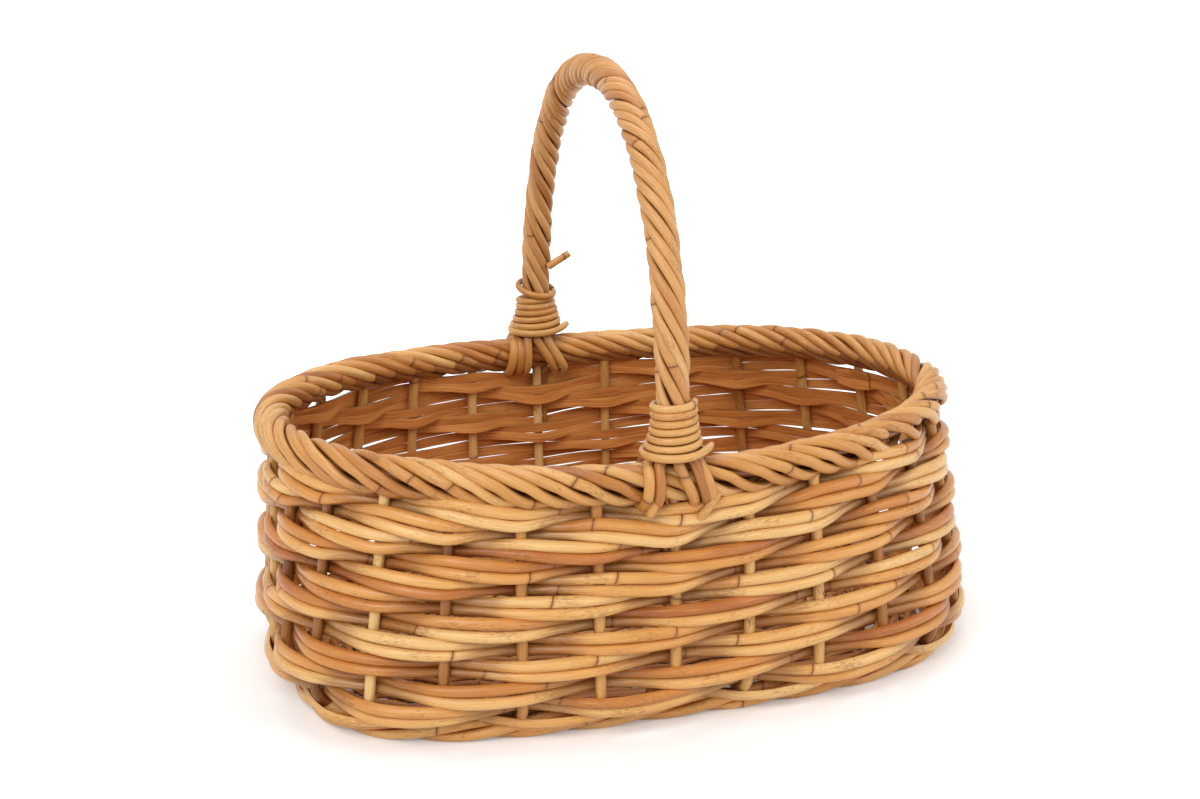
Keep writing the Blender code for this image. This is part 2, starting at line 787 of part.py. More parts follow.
def liner(angle, word, material):
    """A flat tapered end pushed down beside a stake, under the handle's foot."""
    top = wall_way(SIDE_RIM_HEIGHT + RIM_SADDLE / 2 - BORDER_RADIUS - TUCKED_DIAMETER - 2 * GAP)
    step = 2 * pi / OVAL_SAMPLES
    radius = wall_point(angle, top).xy.length
    beside = (STAKE_DIAMETER / 2 + GAP + LINER_WIDTH / 2) / radius
    loops = []
    for down, share in ((0, 1), (LINER_LENGTH - LINER_POINT, 1), (LINER_LENGTH, LINER_TIP_SHARE)):
        centre, outward, _ = wall_frame(angle - beside, top - down, CANE_WIDTH / 2)
        along = (wall_point(angle + step, top - down) - wall_point(angle, top - down)).normalized()
        side = along * (LINER_WIDTH / 2 * share)
        out = outward * (LINER_THICKNESS / 2 * share)
        corners = ((-1, -1), (1, -1), (1, 1), (-1, 1))
        loops.append([centre + side * right + out * front for right, front in corners])
    return loft(f"{word}_liner_end", loops, material, closed=False)


def build():
    clear_scene()
    bark = finish("split_cane", (0.60, 0.34, 0.13), 0.35)
    pale = finish("whole_cane", (0.68, 0.44, 0.21), 0.4)
    dark = finish("base_cane", (0.45, 0.25, 0.10), 0.5)
    base_slath(pale)
    base_weave(dark)
    foot_wale(bark)
    upright = stake_angles(1)
    for number, angle in enumerate(upright, start=1):
        stake(number, angle, pale)
    steps = stake_angles(RING_STEPS_PER_STAKE)
    for layer in range(LAYER_COUNT):
        wale_pair(layer, steps, bark)
    border(pale)
    handle_core(pale)
    handle_rope(pale)
    for side, word in ((-1, "near"), (1, "far")):
        legs(side, word, pale)
        collar(side, word, pale)
    liner(upright[0], "near", dark)
    liner(upright[STAKE_COUNT // 2], "far", dark)


build()
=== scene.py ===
"""Looks of an oval foraging basket: paired split canes, a rim of laid rods and a roped hoop.

Metres, +Z up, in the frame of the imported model, whose lines this script repeats.
Every cane is a line of points that a tree of geometry nodes sweeps with its section.
"""

from math import acos, asin, atan, atan2, copysign, cos, exp, pi, radians, sin, sqrt

import bpy
import numpy as np
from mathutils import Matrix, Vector


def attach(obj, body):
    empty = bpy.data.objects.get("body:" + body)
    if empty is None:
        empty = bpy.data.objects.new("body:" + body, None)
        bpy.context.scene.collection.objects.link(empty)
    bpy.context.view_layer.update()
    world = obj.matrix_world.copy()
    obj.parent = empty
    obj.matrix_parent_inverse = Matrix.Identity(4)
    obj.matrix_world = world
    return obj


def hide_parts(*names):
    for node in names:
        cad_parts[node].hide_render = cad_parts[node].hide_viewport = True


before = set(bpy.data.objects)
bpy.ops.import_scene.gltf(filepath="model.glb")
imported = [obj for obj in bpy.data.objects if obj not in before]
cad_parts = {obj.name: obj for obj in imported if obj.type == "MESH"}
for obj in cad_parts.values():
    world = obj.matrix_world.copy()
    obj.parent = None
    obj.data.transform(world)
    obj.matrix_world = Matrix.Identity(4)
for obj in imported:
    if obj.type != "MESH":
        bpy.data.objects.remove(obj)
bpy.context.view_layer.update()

RANDOM = np.random.default_rng(27)
UP = Vector((0, 0, 1))

# Rim and wall, as in the model
RIM_HALF_LENGTH = 0.2125
RIM_HALF_WIDTH = 0.142
RIM_HEIGHT = 0.160
RIM_SADDLE = 0.0033
BORDER_RADIUS = 0.0108
WALL_SWELL = 0.0020
FOOT_STRETCH = 0.0125
FOOT_STRETCH_POWER = 2
FOOT_SQUARENESS = 3.2
RIM_SQUARENESS = 2.14
RIM_SHIFT = 0.0025
LEAN = 0.003

# Stakes
STAKE_COUNT = 27
STAKE_DIAMETER = 0.0064
STAKE_BEND_RADIUS = 0.0215
STAKE_FOOT_HEIGHT = 0.0122
STAKE_FOOT_LENGTH = 0.0015
STAKE_CROWDING_SHARES = (-0.0056, 0.0049, -0.0060)
DARK_STAKES = (3, 4, 10, 21, 22, 24)

# Split canes of the wall. The tables give a stroke's half steps, from behind a stake onwards.
CANE_WIDTH = 0.0061
CANE_DEPTH = 0.0034
STROKE_BULGE = 0.0016
STROKE_WIDTH_SHARES = (1.15, 1.0, 1.08, 1.15, 1.08, 1.0)
# How clear each half step lies. Behind a stake and at the crossings the low share paints shade on the
# cane.
STROKE_CLEAR_SHARES = (0.2, 0.2, 0.85, 1.0, 0.85, 0.2)
LAYER_COUNT = 12
LAYER_TIGHTENING_SHARE = 0.25
LAYER_RAISE = 0.0052
LAYER_RAISE_POWER = 2.2
LAYER_DROP = 0.0028
LAYER_DROP_POWER = 4
LAYER_RAISE_MOST = 0.0088

# Where the wall rides up: the stake, the reach, how far at the bottom and the top, the power
WALL_RISES = ((22.2, 1.7, 0.0018, 0.0032, 4), (3.2, 1.5, 0.0, 0.0062, 1))
STROKE_STAKES = 3
POINTS_PER_STAKE = 14
SPLICES = 3
SPLICE_REACH = 0.32
SPLICE_FREE_STAKES = 5

# Foot
FOOT_RADIUS = 0.005
FOOT_STRANDS = 3
FOOT_FLAT = 0.0006
FOOT_CANE = 0.0070
FOOT_SWING = 0.0043

# Base
BASE_CROWN = 0.006
STICK_DIAMETER = 0.0040
LONG_STICK_SPACING = 0.016
LONG_STICKS = 3
CROSS_STICK_SPACING = 0.055
CROSS_STICKS = 5
SPOKE_DIAMETER = 0.0026
BASE_CANE = 0.0046
BASE_ROW_SHARE = 0.0295
BASE_WAVE = 0.0024
EDGE_WAYS = (-0.0010, 0.0018, 0.0054, 0.0096)

# Rods of the border
BORDER_LAY = 0.1135
ROD_STRANDS = 7
ROD_DIAMETER = 0.0066
ROD_POINTS = 48
ROD_START = radians(215)
ROD_TURN = radians(367)
ROD_DROP = 0.0040
CUT_ROD_ANGLES = (radians(-45), radians(-21))
CUT_ROD_SHARE = 0.55

# Handle
HANDLE_SHIFT = 0.0082
HANDLE_SKEW = 0.002
HANDLE_RISE = 0.2123
HANDLE_SIDE_POWER = 2.15
HANDLE_CROWN_POWER = 2.46
CORE_DIAMETER = 0.0084
STRAND_DIAMETER = 0.0048
HANDLE_STRANDS = 7
LEG_LAY = 0.102
CROWN_LAY = 0.056
CROWN_REACH = 0.150
STRAND_STEP = 0.0022

# Bindings of the handle's feet, and the strand legs under them
COLLAR_CANE = 0.0043
COLLAR_PITCH = 0.0044
COLLAR_TURNS = {-1: 7, 1: 6}
COLLAR_SEAT = 0.0012
COLLAR_FLARES = {-1: 3.0, 1: 1.6}
COLLAR_DEPTH_SHARE = 0.86
COLLAR_POINTS = 40
LEG_SPREAD_HEIGHT = 0.020
LEG_TUCK_SHARE = 0.6

# Where each strand leg meets the binding and where it ends, along the basket from the foot
NEAR_LEGS = (
    (-0.0178, -0.0196),
    (-0.0118, -0.0127),
    (-0.0015, 0.0096),
    (0.0082, 0.0166),
    (0.0123, 0.0207),
)
FAR_LEGS = (
    (-0.0180, -0.0215),
    (-0.0140, -0.0150),
    (-0.0090, -0.0095),
    (-0.0027, 0.0113),
    (0.0044, 0.0183),
)
HIDDEN_LEGS = ((-0.0150, -0.0200), (-0.0060, -0.0070), (0.0040, 0.0060), (0.0130, 0.0180))

# Liner ends
LINER_WIDTH = 0.0036
LINER_LENGTH = 0.046
LINER_POINT = 0.012

# Clearances and sampling
GAP = 0.0003
SEAT = 0.0006
OVAL_SAMPLES = 720
SMOOTH_ANGLE = radians(50)

# Heights that follow
BEND_TOP = STAKE_FOOT_HEIGHT + STAKE_BEND_RADIUS
BEND_OUTSIDE = STAKE_BEND_RADIUS + STAKE_DIAMETER / 2 + SEAT
BEND_WAY = BEND_OUTSIDE * pi / 2
FOOT_HEIGHT = FOOT_RADIUS - FOOT_FLAT
FOOT_REACH = STAKE_BEND_RADIUS + STAKE_DIAMETER / 2 + GAP + FOOT_RADIUS
FOOT_TURN = acos((BEND_TOP - FOOT_HEIGHT) / FOOT_REACH)
PAIR_HEIGHT = 2 * CANE_WIDTH
STRAND_RING = CORE_DIAMETER / 2 + GAP + STRAND_DIAMETER / 2
ROPE_RADIUS = STRAND_RING + STRAND_DIAMETER / 2
TUCKED_DIAMETER = STRAND_DIAMETER * LEG_TUCK_SHARE
SIDE_RIM_HEIGHT = RIM_HEIGHT - RIM_SADDLE
BORDER_TOP = SIDE_RIM_HEIGHT + BORDER_RADIUS
COLLAR_BOTTOM = BORDER_TOP + COLLAR_SEAT
ROPE_FOOT = COLLAR_BOTTOM + LEG_SPREAD_HEIGHT + GAP


# Plan and meridian of the wall


def height_share(height):
    return min(max(height / RIM_HEIGHT, 0), 1)


def squareness(height):
    return FOOT_SQUARENESS + (RIM_SQUARENESS - FOOT_SQUARENESS) * height_share(height)


def half_length(height):
    return RIM_HALF_LENGTH + FOOT_STRETCH * (1 - height_share(height)) ** FOOT_STRETCH_POWER


def middle(height):
    """Place along the basket of the oval's middle at a height."""
    return LEAN * (1 - height_share(height)) - RIM_SHIFT


def oval_point(angle, inset, height):
    """A point inset outside the oval at a height. The rim dips at the sides by its saddle."""
    power = squareness(height)
    half = half_length(height)
    along = abs(cos(angle) / half) ** power
    across = abs(sin(angle) / RIM_HALF_WIDTH) ** power
    radius = (along + across) ** (-1 / power)
    slope_x = copysign(abs(cos(angle)) ** (power - 1) / half**power, cos(angle))
    slope_y = copysign(abs(sin(angle)) ** (power - 1) / RIM_HALF_WIDTH**power, sin(angle))
    dip = RIM_SADDLE * cos(2 * angle) * (height / RIM_HEIGHT) ** 2
    spot = Vector((middle(height) + radius * cos(angle), radius * sin(angle), height + dip))
    return spot + Vector((slope_x, slope_y, 0)).normalized() * inset


def oval_lengths(inset, height, start):
    """Angles round the oval from start, and the length of the way to each."""
    angles = [start + 2 * pi * i / OVAL_SAMPLES for i in range(OVAL_SAMPLES + 1)]
    points = [oval_point(angle, inset, height) for angle in angles]
    lengths = [0.0]
    for near, far in zip(points, points[1:]):
        lengths.append(lengths[-1] + (far - near).length)
    return np.array(angles), np.array(lengths)


def even_angle(share, table):
    """Angle at a share of the way round the oval, past one whole round too."""
    angles, lengths = table
    rounds, part = divmod(share, 1)
    return float(np.interp(part * lengths[-1], lengths, angles)) + 2 * pi * rounds


def ring_frame(angle, inset, height):
    """A point of a level ring, and the way outwards there."""
    centre = oval_point(angle, inset, height)
    along = oval_point(angle + pi / OVAL_SAMPLES, inset, height) - centre
    return centre, along.cross(UP).normalized()


def swell_inset(height):
    return WALL_SWELL * sin(pi * height / RIM_HEIGHT)


def wall_way(height):
    """Way up the wall to a height above the bend, counted along the bend's outside."""
    return BEND_WAY + height - BEND_TOP


def wall_place(way):
    """How far the stakes' line stands outside the oval, and its height, at a way up the wall."""
    if way < BEND_WAY:
        turn = way / BEND_OUTSIDE
        inset = swell_inset(BEND_TOP) - STAKE_BEND_RADIUS * (1 - sin(turn))
        return inset, BEND_TOP - STAKE_BEND_RADIUS * cos(turn)
    height = BEND_TOP + way - BEND_WAY
    return swell_inset(height), height


STAKE_FOOT_INSET = wall_place(0)[0]
BASE_INSET = STAKE_FOOT_INSET - STAKE_FOOT_LENGTH - GAP


def wall_point(angle, way):
    return oval_point(angle, *wall_place(way))


def wall_frame(angle, way):
    """Point, outward and upward directions of the stakes' surface."""
    step = pi / OVAL_SAMPLES
    reach = CANE_WIDTH / 2
    along = wall_point(angle + step, way) - wall_point(angle - step, way)
    upward = (wall_point(angle, way + reach) - wall_point(angle, way - reach)).normalized()
    return wall_point(angle, way), along.cross(upward).normalized(), upward


def hoop_place(side):
    """Place along the basket of the hoop's near (-1) or far (1) foot, and of its crown (0)."""
    return middle(RIM_HEIGHT) - HANDLE_SHIFT - side * HANDLE_SKEW


NEAR_ANGLE = atan2(-RIM_HALF_WIDTH, hoop_place(-1) - middle(RIM_HEIGHT))
FAR_ANGLE = atan2(RIM_HALF_WIDTH, hoop_place(1) - middle(RIM_HEIGHT))
STAKE_TABLE = oval_lengths(WALL_SWELL, RIM_HEIGHT / 2, NEAR_ANGLE)


def crowded(share):
    first, second, third = STAKE_CROWDING_SHARES
    turn = 2 * pi * share
    return share + first * sin(turn) + second * sin(2 * turn) + third * sin(turn) ** 2


FAR_SHARE = float(np.interp(FAR_ANGLE, *STAKE_TABLE)) / STAKE_TABLE[1][-1]
STAKE_DRIFT = FAR_SHARE - crowded(STAKE_COUNT // 2 / STAKE_COUNT)


def stake_angle(number):
    """Angle of a stake, or of a place between two, counted round from the near handle foot."""
    rounds, share = divmod(number / STAKE_COUNT, 1)
    return even_angle(crowded(share) + STAKE_DRIFT * sin(pi * share) ** 2 + rounds, STAKE_TABLE)


# Canes as lines of points


def wander(size, rate=1.0):
    """A slow seeded wave along a cane, about size high."""
    starts = RANDOM.uniform(0, 2 * pi, 3)
    rates = rate * RANDOM.uniform(0.5, 2.2, 3)
    return lambda place: size * float(np.sin(rates * place + starts).sum()) / 2


def cane(points, widths, faces, tone, clear=1.0):
    """A cane's line with, at each point, half its width, the way its bark faces and its finish.

    The tone runs from pale to rust. Where a cane lies clear it keeps its colour, and where it is
    tucked away brown is painted on it as shade. Node rings lie a seeded gap apart.
    """
    places = np.array([tuple(point) for point in points])
    count = len(places)
    tangents = np.gradient(places, axis=0)
    tangents /= np.linalg.norm(tangents, axis=1)[:, None]
    outward = np.array([tuple(face) for face in faces])
    outward -= tangents * (outward * tangents).sum(axis=1)[:, None]
    outward /= np.linalg.norm(outward, axis=1)[:, None]
    return {
        "points": places,
        "outward": outward,
        "half_width": np.broadcast_to(np.asarray(widths, float) / 2, count),
        "clear": np.broadcast_to(np.clip(clear, 0, 1), count),
        "tone": np.full(count, np.clip(tone, 0, 1)),
        "gap": np.full(count, RANDOM.uniform(0.10, 0.24)),
        "start": np.full(count, RANDOM.uniform(0, 40)),
    }


def add_node(tree, kind, inputs=(), **settings):
    """The outputs of a new node, its inputs linked to sockets or set to values."""
    node = tree.nodes.new(kind)
    for name, value in settings.items():
        setattr(node, name, value)
    for name, value in inputs.items() if isinstance(inputs, dict) else enumerate(inputs):
        if isinstance(value, bpy.types.NodeSocket):
            tree.links.new(value, node.inputs[name])
        else:
            node.inputs[name].default_value = value
    return node.outputs


def node_rings(tree, along, gap):
    """Which stretch between two node rings a place along a cane is in, and how far its ring is."""
    stretch = add_node(tree, "ShaderNodeMath", (along, gap), operation="DIVIDE")[0]
    near = add_node(tree, "ShaderNodeMath", (stretch, 0.5), operation="PINGPONG")[0]
    return stretch, add_node(tree, "ShaderNodeMath", (near, gap), operation="MULTIPLY")[0]


def swept_cane_tree():
    """Sweeps lines of edges with a split or whole section, a little thicker at the node rings."""
    tree = bpy.data.node_groups.new("swept_cane", "GeometryNodeTree")
    tree.interface.new_socket("Canes", in_out="INPUT", socket_type="NodeSocketGeometry")
    for name, kind in (
        ("Sides", "Int"),
        ("Bark height", "Float"),
        ("Pith height", "Float"),
        ("Ring swell", "Float"),
        ("Ring width", "Float"),
        ("Material", "Material"),
    ):
        tree.interface.new_socket(name, in_out="INPUT", socket_type=f"NodeSocket{kind}")
    tree.interface.new_socket("Canes", in_out="OUTPUT", socket_type="NodeSocketGeometry")
    given = add_node(tree, "NodeGroupInput")
    attributes = {
        name: add_node(tree, "GeometryNodeInputNamedAttribute", {"Name": name}, data_type=kind)[0]
        for name, kind in (
            ("outward", "FLOAT_VECTOR"),
            ("half_width", "FLOAT"),
            ("start", "FLOAT"),
            ("gap", "FLOAT"),
            ("along", "FLOAT"),
            ("section", "FLOAT_VECTOR"),
        )
    }

    lines = add_node(tree, "GeometryNodeMeshToCurve", (given["Canes"],))[0]
    length = add_node(tree, "GeometryNodeSplineParameter")["Length"]
    along = add_node(tree, "ShaderNodeMath", (length, attributes["start"]))[0]
    lines = add_node(
        tree,
        "GeometryNodeStoreNamedAttribute",
        {"Geometry": lines, "Name": "along", "Value": along},
        data_type="FLOAT",
        domain="POINT",
    )[0]
    lines = add_node(
        tree,
        "GeometryNodeSetCurveNormal",
        {"Curve": lines, "Normal": attributes["outward"]},
        mode="FREE",
    )[0]
    _, away = node_rings(tree, attributes["along"], attributes["gap"])
    swell = add_node(
        tree,
        "ShaderNodeMapRange",
        {0: away, 1: 0.0, 2: given["Ring width"], 3: given["Ring swell"], 4: 1.0},
        interpolation_type="SMOOTHSTEP",
    )[0]
    half_width = add_node(
        tree, "ShaderNodeMath", (attributes["half_width"], swell), operation="MULTIPLY"
    )[0]

    circle = add_node(
        tree,
        "GeometryNodeCurvePrimitiveCircle",
        {"Resolution": given["Sides"], "Radius": 1.0},
        mode="RADIUS",
    )[0]
    place = add_node(tree, "GeometryNodeInputPosition")[0]
    outwards, sideways, _ = add_node(tree, "ShaderNodeSeparateXYZ", (place,))
    bark = add_node(tree, "ShaderNodeMath", (outwards, 0.0), operation="MAXIMUM")[0]
    bark = add_node(tree, "ShaderNodeMath", (bark, given["Bark height"]), operation="MULTIPLY")[0]
    pith = add_node(tree, "ShaderNodeMath", (outwards, 0.0), operation="MINIMUM")[0]
    outwards = add_node(
        tree,
        "ShaderNodeMath",
        (pith, given["Pith height"], bark),
        operation="MULTIPLY_ADD",
    )[0]
    place = add_node(tree, "ShaderNodeCombineXYZ", (outwards, sideways, 0.0))[0]
    profile = add_node(
        tree, "GeometryNodeSetPosition", {"Geometry": circle, "Position": place}
    )[0]
    profile = add_node(
        tree,
        "GeometryNodeStoreNamedAttribute",
        {"Geometry": profile, "Name": "section", "Value": add_node(tree, "GeometryNodeInputPosition")[0]},
        data_type="FLOAT_VECTOR",
        domain="POINT",
    )[0]
    canes = add_node(
        tree,
        "GeometryNodeCurveToMesh",
        {"Curve": lines, "Profile Curve": profile, "Scale": half_width, "Fill Caps": True},
    )[0]

    deep, wide, _ = add_node(tree, "ShaderNodeSeparateXYZ", (attributes["section"],))
    deep = add_node(tree, "ShaderNodeMath", (deep, attributes["half_width"]), operation="MULTIPLY")[0]
    wide = add_node(tree, "ShaderNodeMath", (wide, attributes["half_width"]), operation="MULTIPLY")[0]
    grain = add_node(tree, "ShaderNodeCombineXYZ", (attributes["along"], wide, deep))[0]
    canes = add_node(
        tree,
        "GeometryNodeStoreNamedAttribute",
        {"Geometry": canes, "Name": "grain", "Value": grain},
        data_type="FLOAT_VECTOR",
        domain="POINT",
    )[0]
    for name in ("outward", "half_width", "start", "along", "section"):
        canes = add_node(tree, "GeometryNodeRemoveAttribute", {"Geometry": canes, "Name": name})[0]
    canes = add_node(tree, "GeometryNodeSetShadeSmooth", (canes,))[0]
    canes = add_node(tree, "GeometryNodeRealizeInstances", (canes,))[0]
    canes = add_node(
        tree, "GeometryNodeSetMaterial", {"Geometry": canes, "Material": given["Material"]}
    )[0]
    add_node(tree, "NodeGroupOutput", (canes,))
    return tree


SWEPT_CANE = swept_cane_tree()


def shape(sides, bark, pith, swell=1.05):
    """A section's sides and its heights in half widths, and its swelling at a node ring."""
    return {
        "Sides": sides,
        "Bark height": float(bark),
        "Pith height": float(pith),
        "Ring swell": float(swell),
        "Ring width": 0.0045,
    }


def line_mesh(name, canes):
    """Edges along the canes' lines, with what the tree and the materials read."""
    counts = [len(each["points"]) for each in canes]
    starts = np.cumsum([0] + counts)
    edges = [(i, i + 1) for low, high in zip(starts, starts[1:]) for i in range(low, high - 1)]
    mesh = bpy.data.meshes.new(name)
    mesh.from_pydata(np.concatenate([each["points"] for each in canes]).tolist(), edges, [])
    for key in ("outward", "half_width", "clear", "tone", "gap", "start"):
        values = np.concatenate([each[key] for each in canes])
        if key == "outward":
            attribute = mesh.attributes.new(key, "FLOAT_VECTOR", "POINT")
            attribute.data.foreach_set("vector", values.ravel())
        else:
            attribute = mesh.attributes.new(key, "FLOAT", "POINT")
            attribute.data.foreach_set("value", values)
    return mesh


def sweep(name, canes, section, material, nodes):
    """The canes as one plain mesh, in the place of the nodes that it stands for."""
    obj = bpy.data.objects.new(name, line_mesh(name, canes))
    bpy.context.scene.collection.objects.link(obj)
    modifier = obj.modifiers.new("swept_cane", "NODES")
    modifier.node_group = SWEPT_CANE
    identifiers = {
        item.name: item.identifier
        for item in SWEPT_CANE.interface.items_tree
        if item.in_out == "INPUT"
    }
    for label, value in {**section, "Material": material}.items():
        modifier[identifiers[label]] = value
    bpy.context.view_layer.update()
    graph = bpy.context.evaluated_depsgraph_get()
    made = bpy.data.meshes.new_from_object(
        obj.evaluated_get(graph), preserve_all_data_layers=True, depsgraph=graph
    )
    obj.modifiers.clear()
    obj.data = made
    made.name = name
    made.set_sharp_from_angle(angle=SMOOTH_ANGLE)
    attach(obj, "root")
    if nodes:
        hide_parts(*nodes)


# Rattan


def linear(colour):
    """An sRGB hex colour as linear values with alpha."""
    values = [int(colour[i : i + 2], 16) / 255 for i in (1, 3, 5)]
    return (*(v / 12.92 if v <= 0.04045 else ((v + 0.055) / 1.055) ** 2.4 for v in values), 1.0)


def grain_noise(tree, length, width, detail=2.0, shift=0.0):
    """Noise drawn out along a cane, its grain's length and width in metres."""
    grain = add_node(tree, "ShaderNodeAttribute", attribute_name="grain")["Vector"]
    sizes = (1 / length, 1 / width, 1 / width)
    spot = add_node(
        tree, "ShaderNodeVectorMath", (grain, sizes, (shift,) * 3), operation="MULTIPLY_ADD"
    )[0]
    return add_node(tree, "ShaderNodeTexNoise", {"Vector": spot, "Scale": 1.0, "Detail": detail})[0]


def rattan(name, bark, pith, gloss, dirt, crevice_shade):
    """Rattan: a satin bark, straw to rust, and where it is split a matte fibrous pith.

    The bark has its own tone between each two node rings. Its streaks are 0.5 mm wide and its
    mottles a few millimetres long, the pores are drawn a little coarse so that they show, and
    each ring is a thin brown line with a scar. Where a cane is tucked away brown is painted on it
    as shade, and painted shade also darkens the crevices between round canes that lie side by side.
    """
    material = bpy.data.materials.new(name)
    material.use_nodes = True
    tree = material.node_tree
    shader = tree.nodes["Principled BSDF"]
    tone, clear, gap = (
        add_node(tree, "ShaderNodeAttribute", attribute_name=key)["Fac"]
        for key in ("tone", "clear", "gap")
    )
    grain = add_node(tree, "ShaderNodeAttribute", attribute_name="grain")["Vector"]
    along, across, deep = add_node(tree, "ShaderNodeSeparateXYZ", (grain,))
    slow = grain_noise(tree, 0.055, 0.012)
    streak = grain_noise(tree, 0.018, 0.0005, 3.0, 11.0)
    mottle = grain_noise(tree, 0.0032, 0.0008, 3.0, 37.0)
    patch = grain_noise(tree, 0.035, 0.02, 1.0, 23.0)
    mottle = add_node(tree, "ShaderNodeMath", (mottle, patch), operation="MULTIPLY")[0]
    pores = grain_noise(tree, 0.0016, 0.0005, 1.0, 51.0)
    oblique = add_node(
        tree, "ShaderNodeMath", (across, 0.25, along), operation="MULTIPLY_ADD"
    )[0]
    stretch, away = node_rings(tree, oblique, gap)
    stretch = add_node(tree, "ShaderNodeMath", (stretch,), operation="FLOOR")[0]
    own = add_node(tree, "ShaderNodeTexWhiteNoise", {"W": stretch}, noise_dimensions="1D")[0]

    mixed = tone
    for value, weight in ((own, 0.36), (slow, 0.8)):
        mixed = add_node(
            tree, "ShaderNodeMath", (value, weight, mixed), operation="MULTIPLY_ADD"
        )[0]
    mixed = add_node(tree, "ShaderNodeMath", (mixed, 0.58), operation="SUBTRACT")[0]
    colour = add_node(tree, "ShaderNodeValToRGB", (mixed,))[0]
    ramp = colour.node.color_ramp
    ramp.elements[0].color = linear(bark[0])
    ramp.elements[1].color = linear(bark[3])
    ramp.elements.new(0.36).color = linear(bark[1])
    ramp.elements.new(0.70).color = linear(bark[2])

    # Painted shade: how far a cane is tucked away, from its clear share, with a little streak in it
    shade = add_node(tree, "ShaderNodeMath", (streak, 0.5), operation="SUBTRACT")[0]
    shade = add_node(tree, "ShaderNodeMath", (shade, 0.9, clear), operation="MULTIPLY_ADD")[0]
    for value, low, high, most, tint in (
        (streak, 0.62, 0.30, 0.28, bark[3]),
        (streak, 0.55, 0.80, 0.35, bark[0]),
        (mottle, 0.29, 0.41, dirt, "#85501F"),
        (pores, 0.70, 0.76, 0.40, "#4A2A15"),
        (away, 0.0030, 0.0, 0.45, bark[3]),
        (away, 0.0008, 0.0003, 0.80, "#6B3A0C"),
        # painted shade: brown where the cane is tucked away
        (shade, 0.90, 0.0, 0.66, "#7A4017"),
        # painted shade: the inner side of a cane, in the crevices between canes, turns brown
        (deep, 0.0008, -0.0012, crevice_shade, "#6B3A1C"),
    ):
        share = add_node(
            tree,
            "ShaderNodeMapRange",
            (value, low, high, 0.0, most),
            interpolation_type="SMOOTHSTEP",
        )[0]
        colour = add_node(
            tree, "ShaderNodeMix", {0: share, 6: colour, 7: linear(tint)}, data_type="RGBA"
        )[2]

    rough = add_node(tree, "ShaderNodeMapRange", (slow, 0.3, 0.7, gloss, gloss + 0.12))[0]
    if pith:
        fibre = grain_noise(tree, 0.03, 0.00035, 3.0, 71.0)
        fibre = add_node(tree, "ShaderNodeMath", (slow, 0.6, fibre), operation="MULTIPLY_ADD")[0]
        flesh = add_node(tree, "ShaderNodeValToRGB", (fibre,))[0]
        ramp = flesh.node.color_ramp
        ramp.elements[0].position = 0.55
        ramp.elements[0].color = linear(pith[2])
        ramp.elements[1].color = linear(pith[0])
        ramp.elements.new(0.78).color = linear(pith[1])
        inner = add_node(tree, "ShaderNodeMapRange", (deep, 0.0001, -0.00005, 0.0, 1.0))[0]
        colour = add_node(
            tree, "ShaderNodeMix", {0: inner, 6: colour, 7: flesh}, data_type="RGBA"
        )[2]
        rough = add_node(tree, "ShaderNodeMapRange", (inner, 0.0, 1.0, rough, 0.8))[0]
    bump = add_node(
        tree, "ShaderNodeBump", {"Strength": 0.4, "Distance": 0.0003, "Height": streak}
    )[0]
    tree.links.new(colour, shader.inputs["Base Color"])
    tree.links.new(rough, shader.inputs["Roughness"])
    tree.links.new(bump, shader.inputs["Normal"])
    shader.inputs["IOR"].default_value = 1.48
    return material


SPLIT_SECTION = shape(14, 2 * CANE_DEPTH / CANE_WIDTH, 0.05)
FOOT_SECTION = shape(12, 0.9, 0.7)
ROUND_SECTION = shape(12, 1.0, 1.0)
STRAND_SECTION = shape(12, 0.9, 0.85, 1.03)
WEAVE_SECTION = shape(8, 0.62, 0.62, 1.03)
FLAT_SECTION = shape(12, 0.6, 0.3, 1.0)

# Split down its length: half round and satin outside, flat and matte inside.
SPLIT_RATTAN = rattan(
    "split_rattan_natural",
    ("#ECC07C", "#E1A75B", "#CE873E", "#AB5F28"),
    ("#E09A54", "#CB8039", "#9C5822"),
    0.28,
    0.45,
    0.0,
)
# Whole, with its bark on: round, mottled where it was handled.
WHOLE_RATTAN = rattan(
    "whole_rattan_natural",
    ("#E9BF7C", "#D69F58", "#AE7030", "#74421A"),
    None,
    0.36,
    0.8,
    0.0,
)
# Thin and whole, smoothed by the maker's hands, for the rim and the bindings.
SMOOTH_RATTAN = rattan(
    "smooth_rattan_natural",
    ("#DFAC68", "#D0944C", "#B87636", "#925226"),
    None,
    0.30,
    0.55,
    0.75,
)
# Thin and whole, scraped a little paler, for the handle.
SCRAPED_RATTAN = rattan(
    "scraped_rattan_natural",
    ("#E5B980", "#D7A263", "#C4894B", "#A86836"),
    None,
    0.32,
    0.40,
    0.85,
)
# The core of the cane without its bark, dull and browner, for the base.
CORE_RATTAN = rattan(
    "core_rattan_dull",
    ("#D6A060", "#BF8040", "#A2622C", "#7D4920"),
    None,
    0.6,
    0.5,
    0.3,
)


# Wall


def layer_way(layer):
    """Way up the wall to the middle of a pair. The pairs lie closer together towards the top."""
    lowest = FOOT_TURN + asin(FOOT_RADIUS / FOOT_REACH) + atan(CANE_WIDTH / BEND_OUTSIDE)
    first = BEND_OUTSIDE * lowest + GAP
    under = RIM_HEIGHT - BORDER_RADIUS - TUCKED_DIAMETER - 3 * GAP - CANE_WIDTH
    under = under - RIM_SADDLE * (1 - (under / RIM_HEIGHT) ** 2)
    lift_share = (1 - LAYER_TIGHTENING_SHARE) / (2 * (LAYER_COUNT - 1))
    last = wall_way(under) - (PAIR_HEIGHT + GAP) / 2 - lift_share * first
    last = last / (1 - lift_share)
    share = layer / (LAYER_COUNT - 1)
    return first + (last - first) * (share + LAYER_TIGHTENING_SHARE * share * (1 - share))


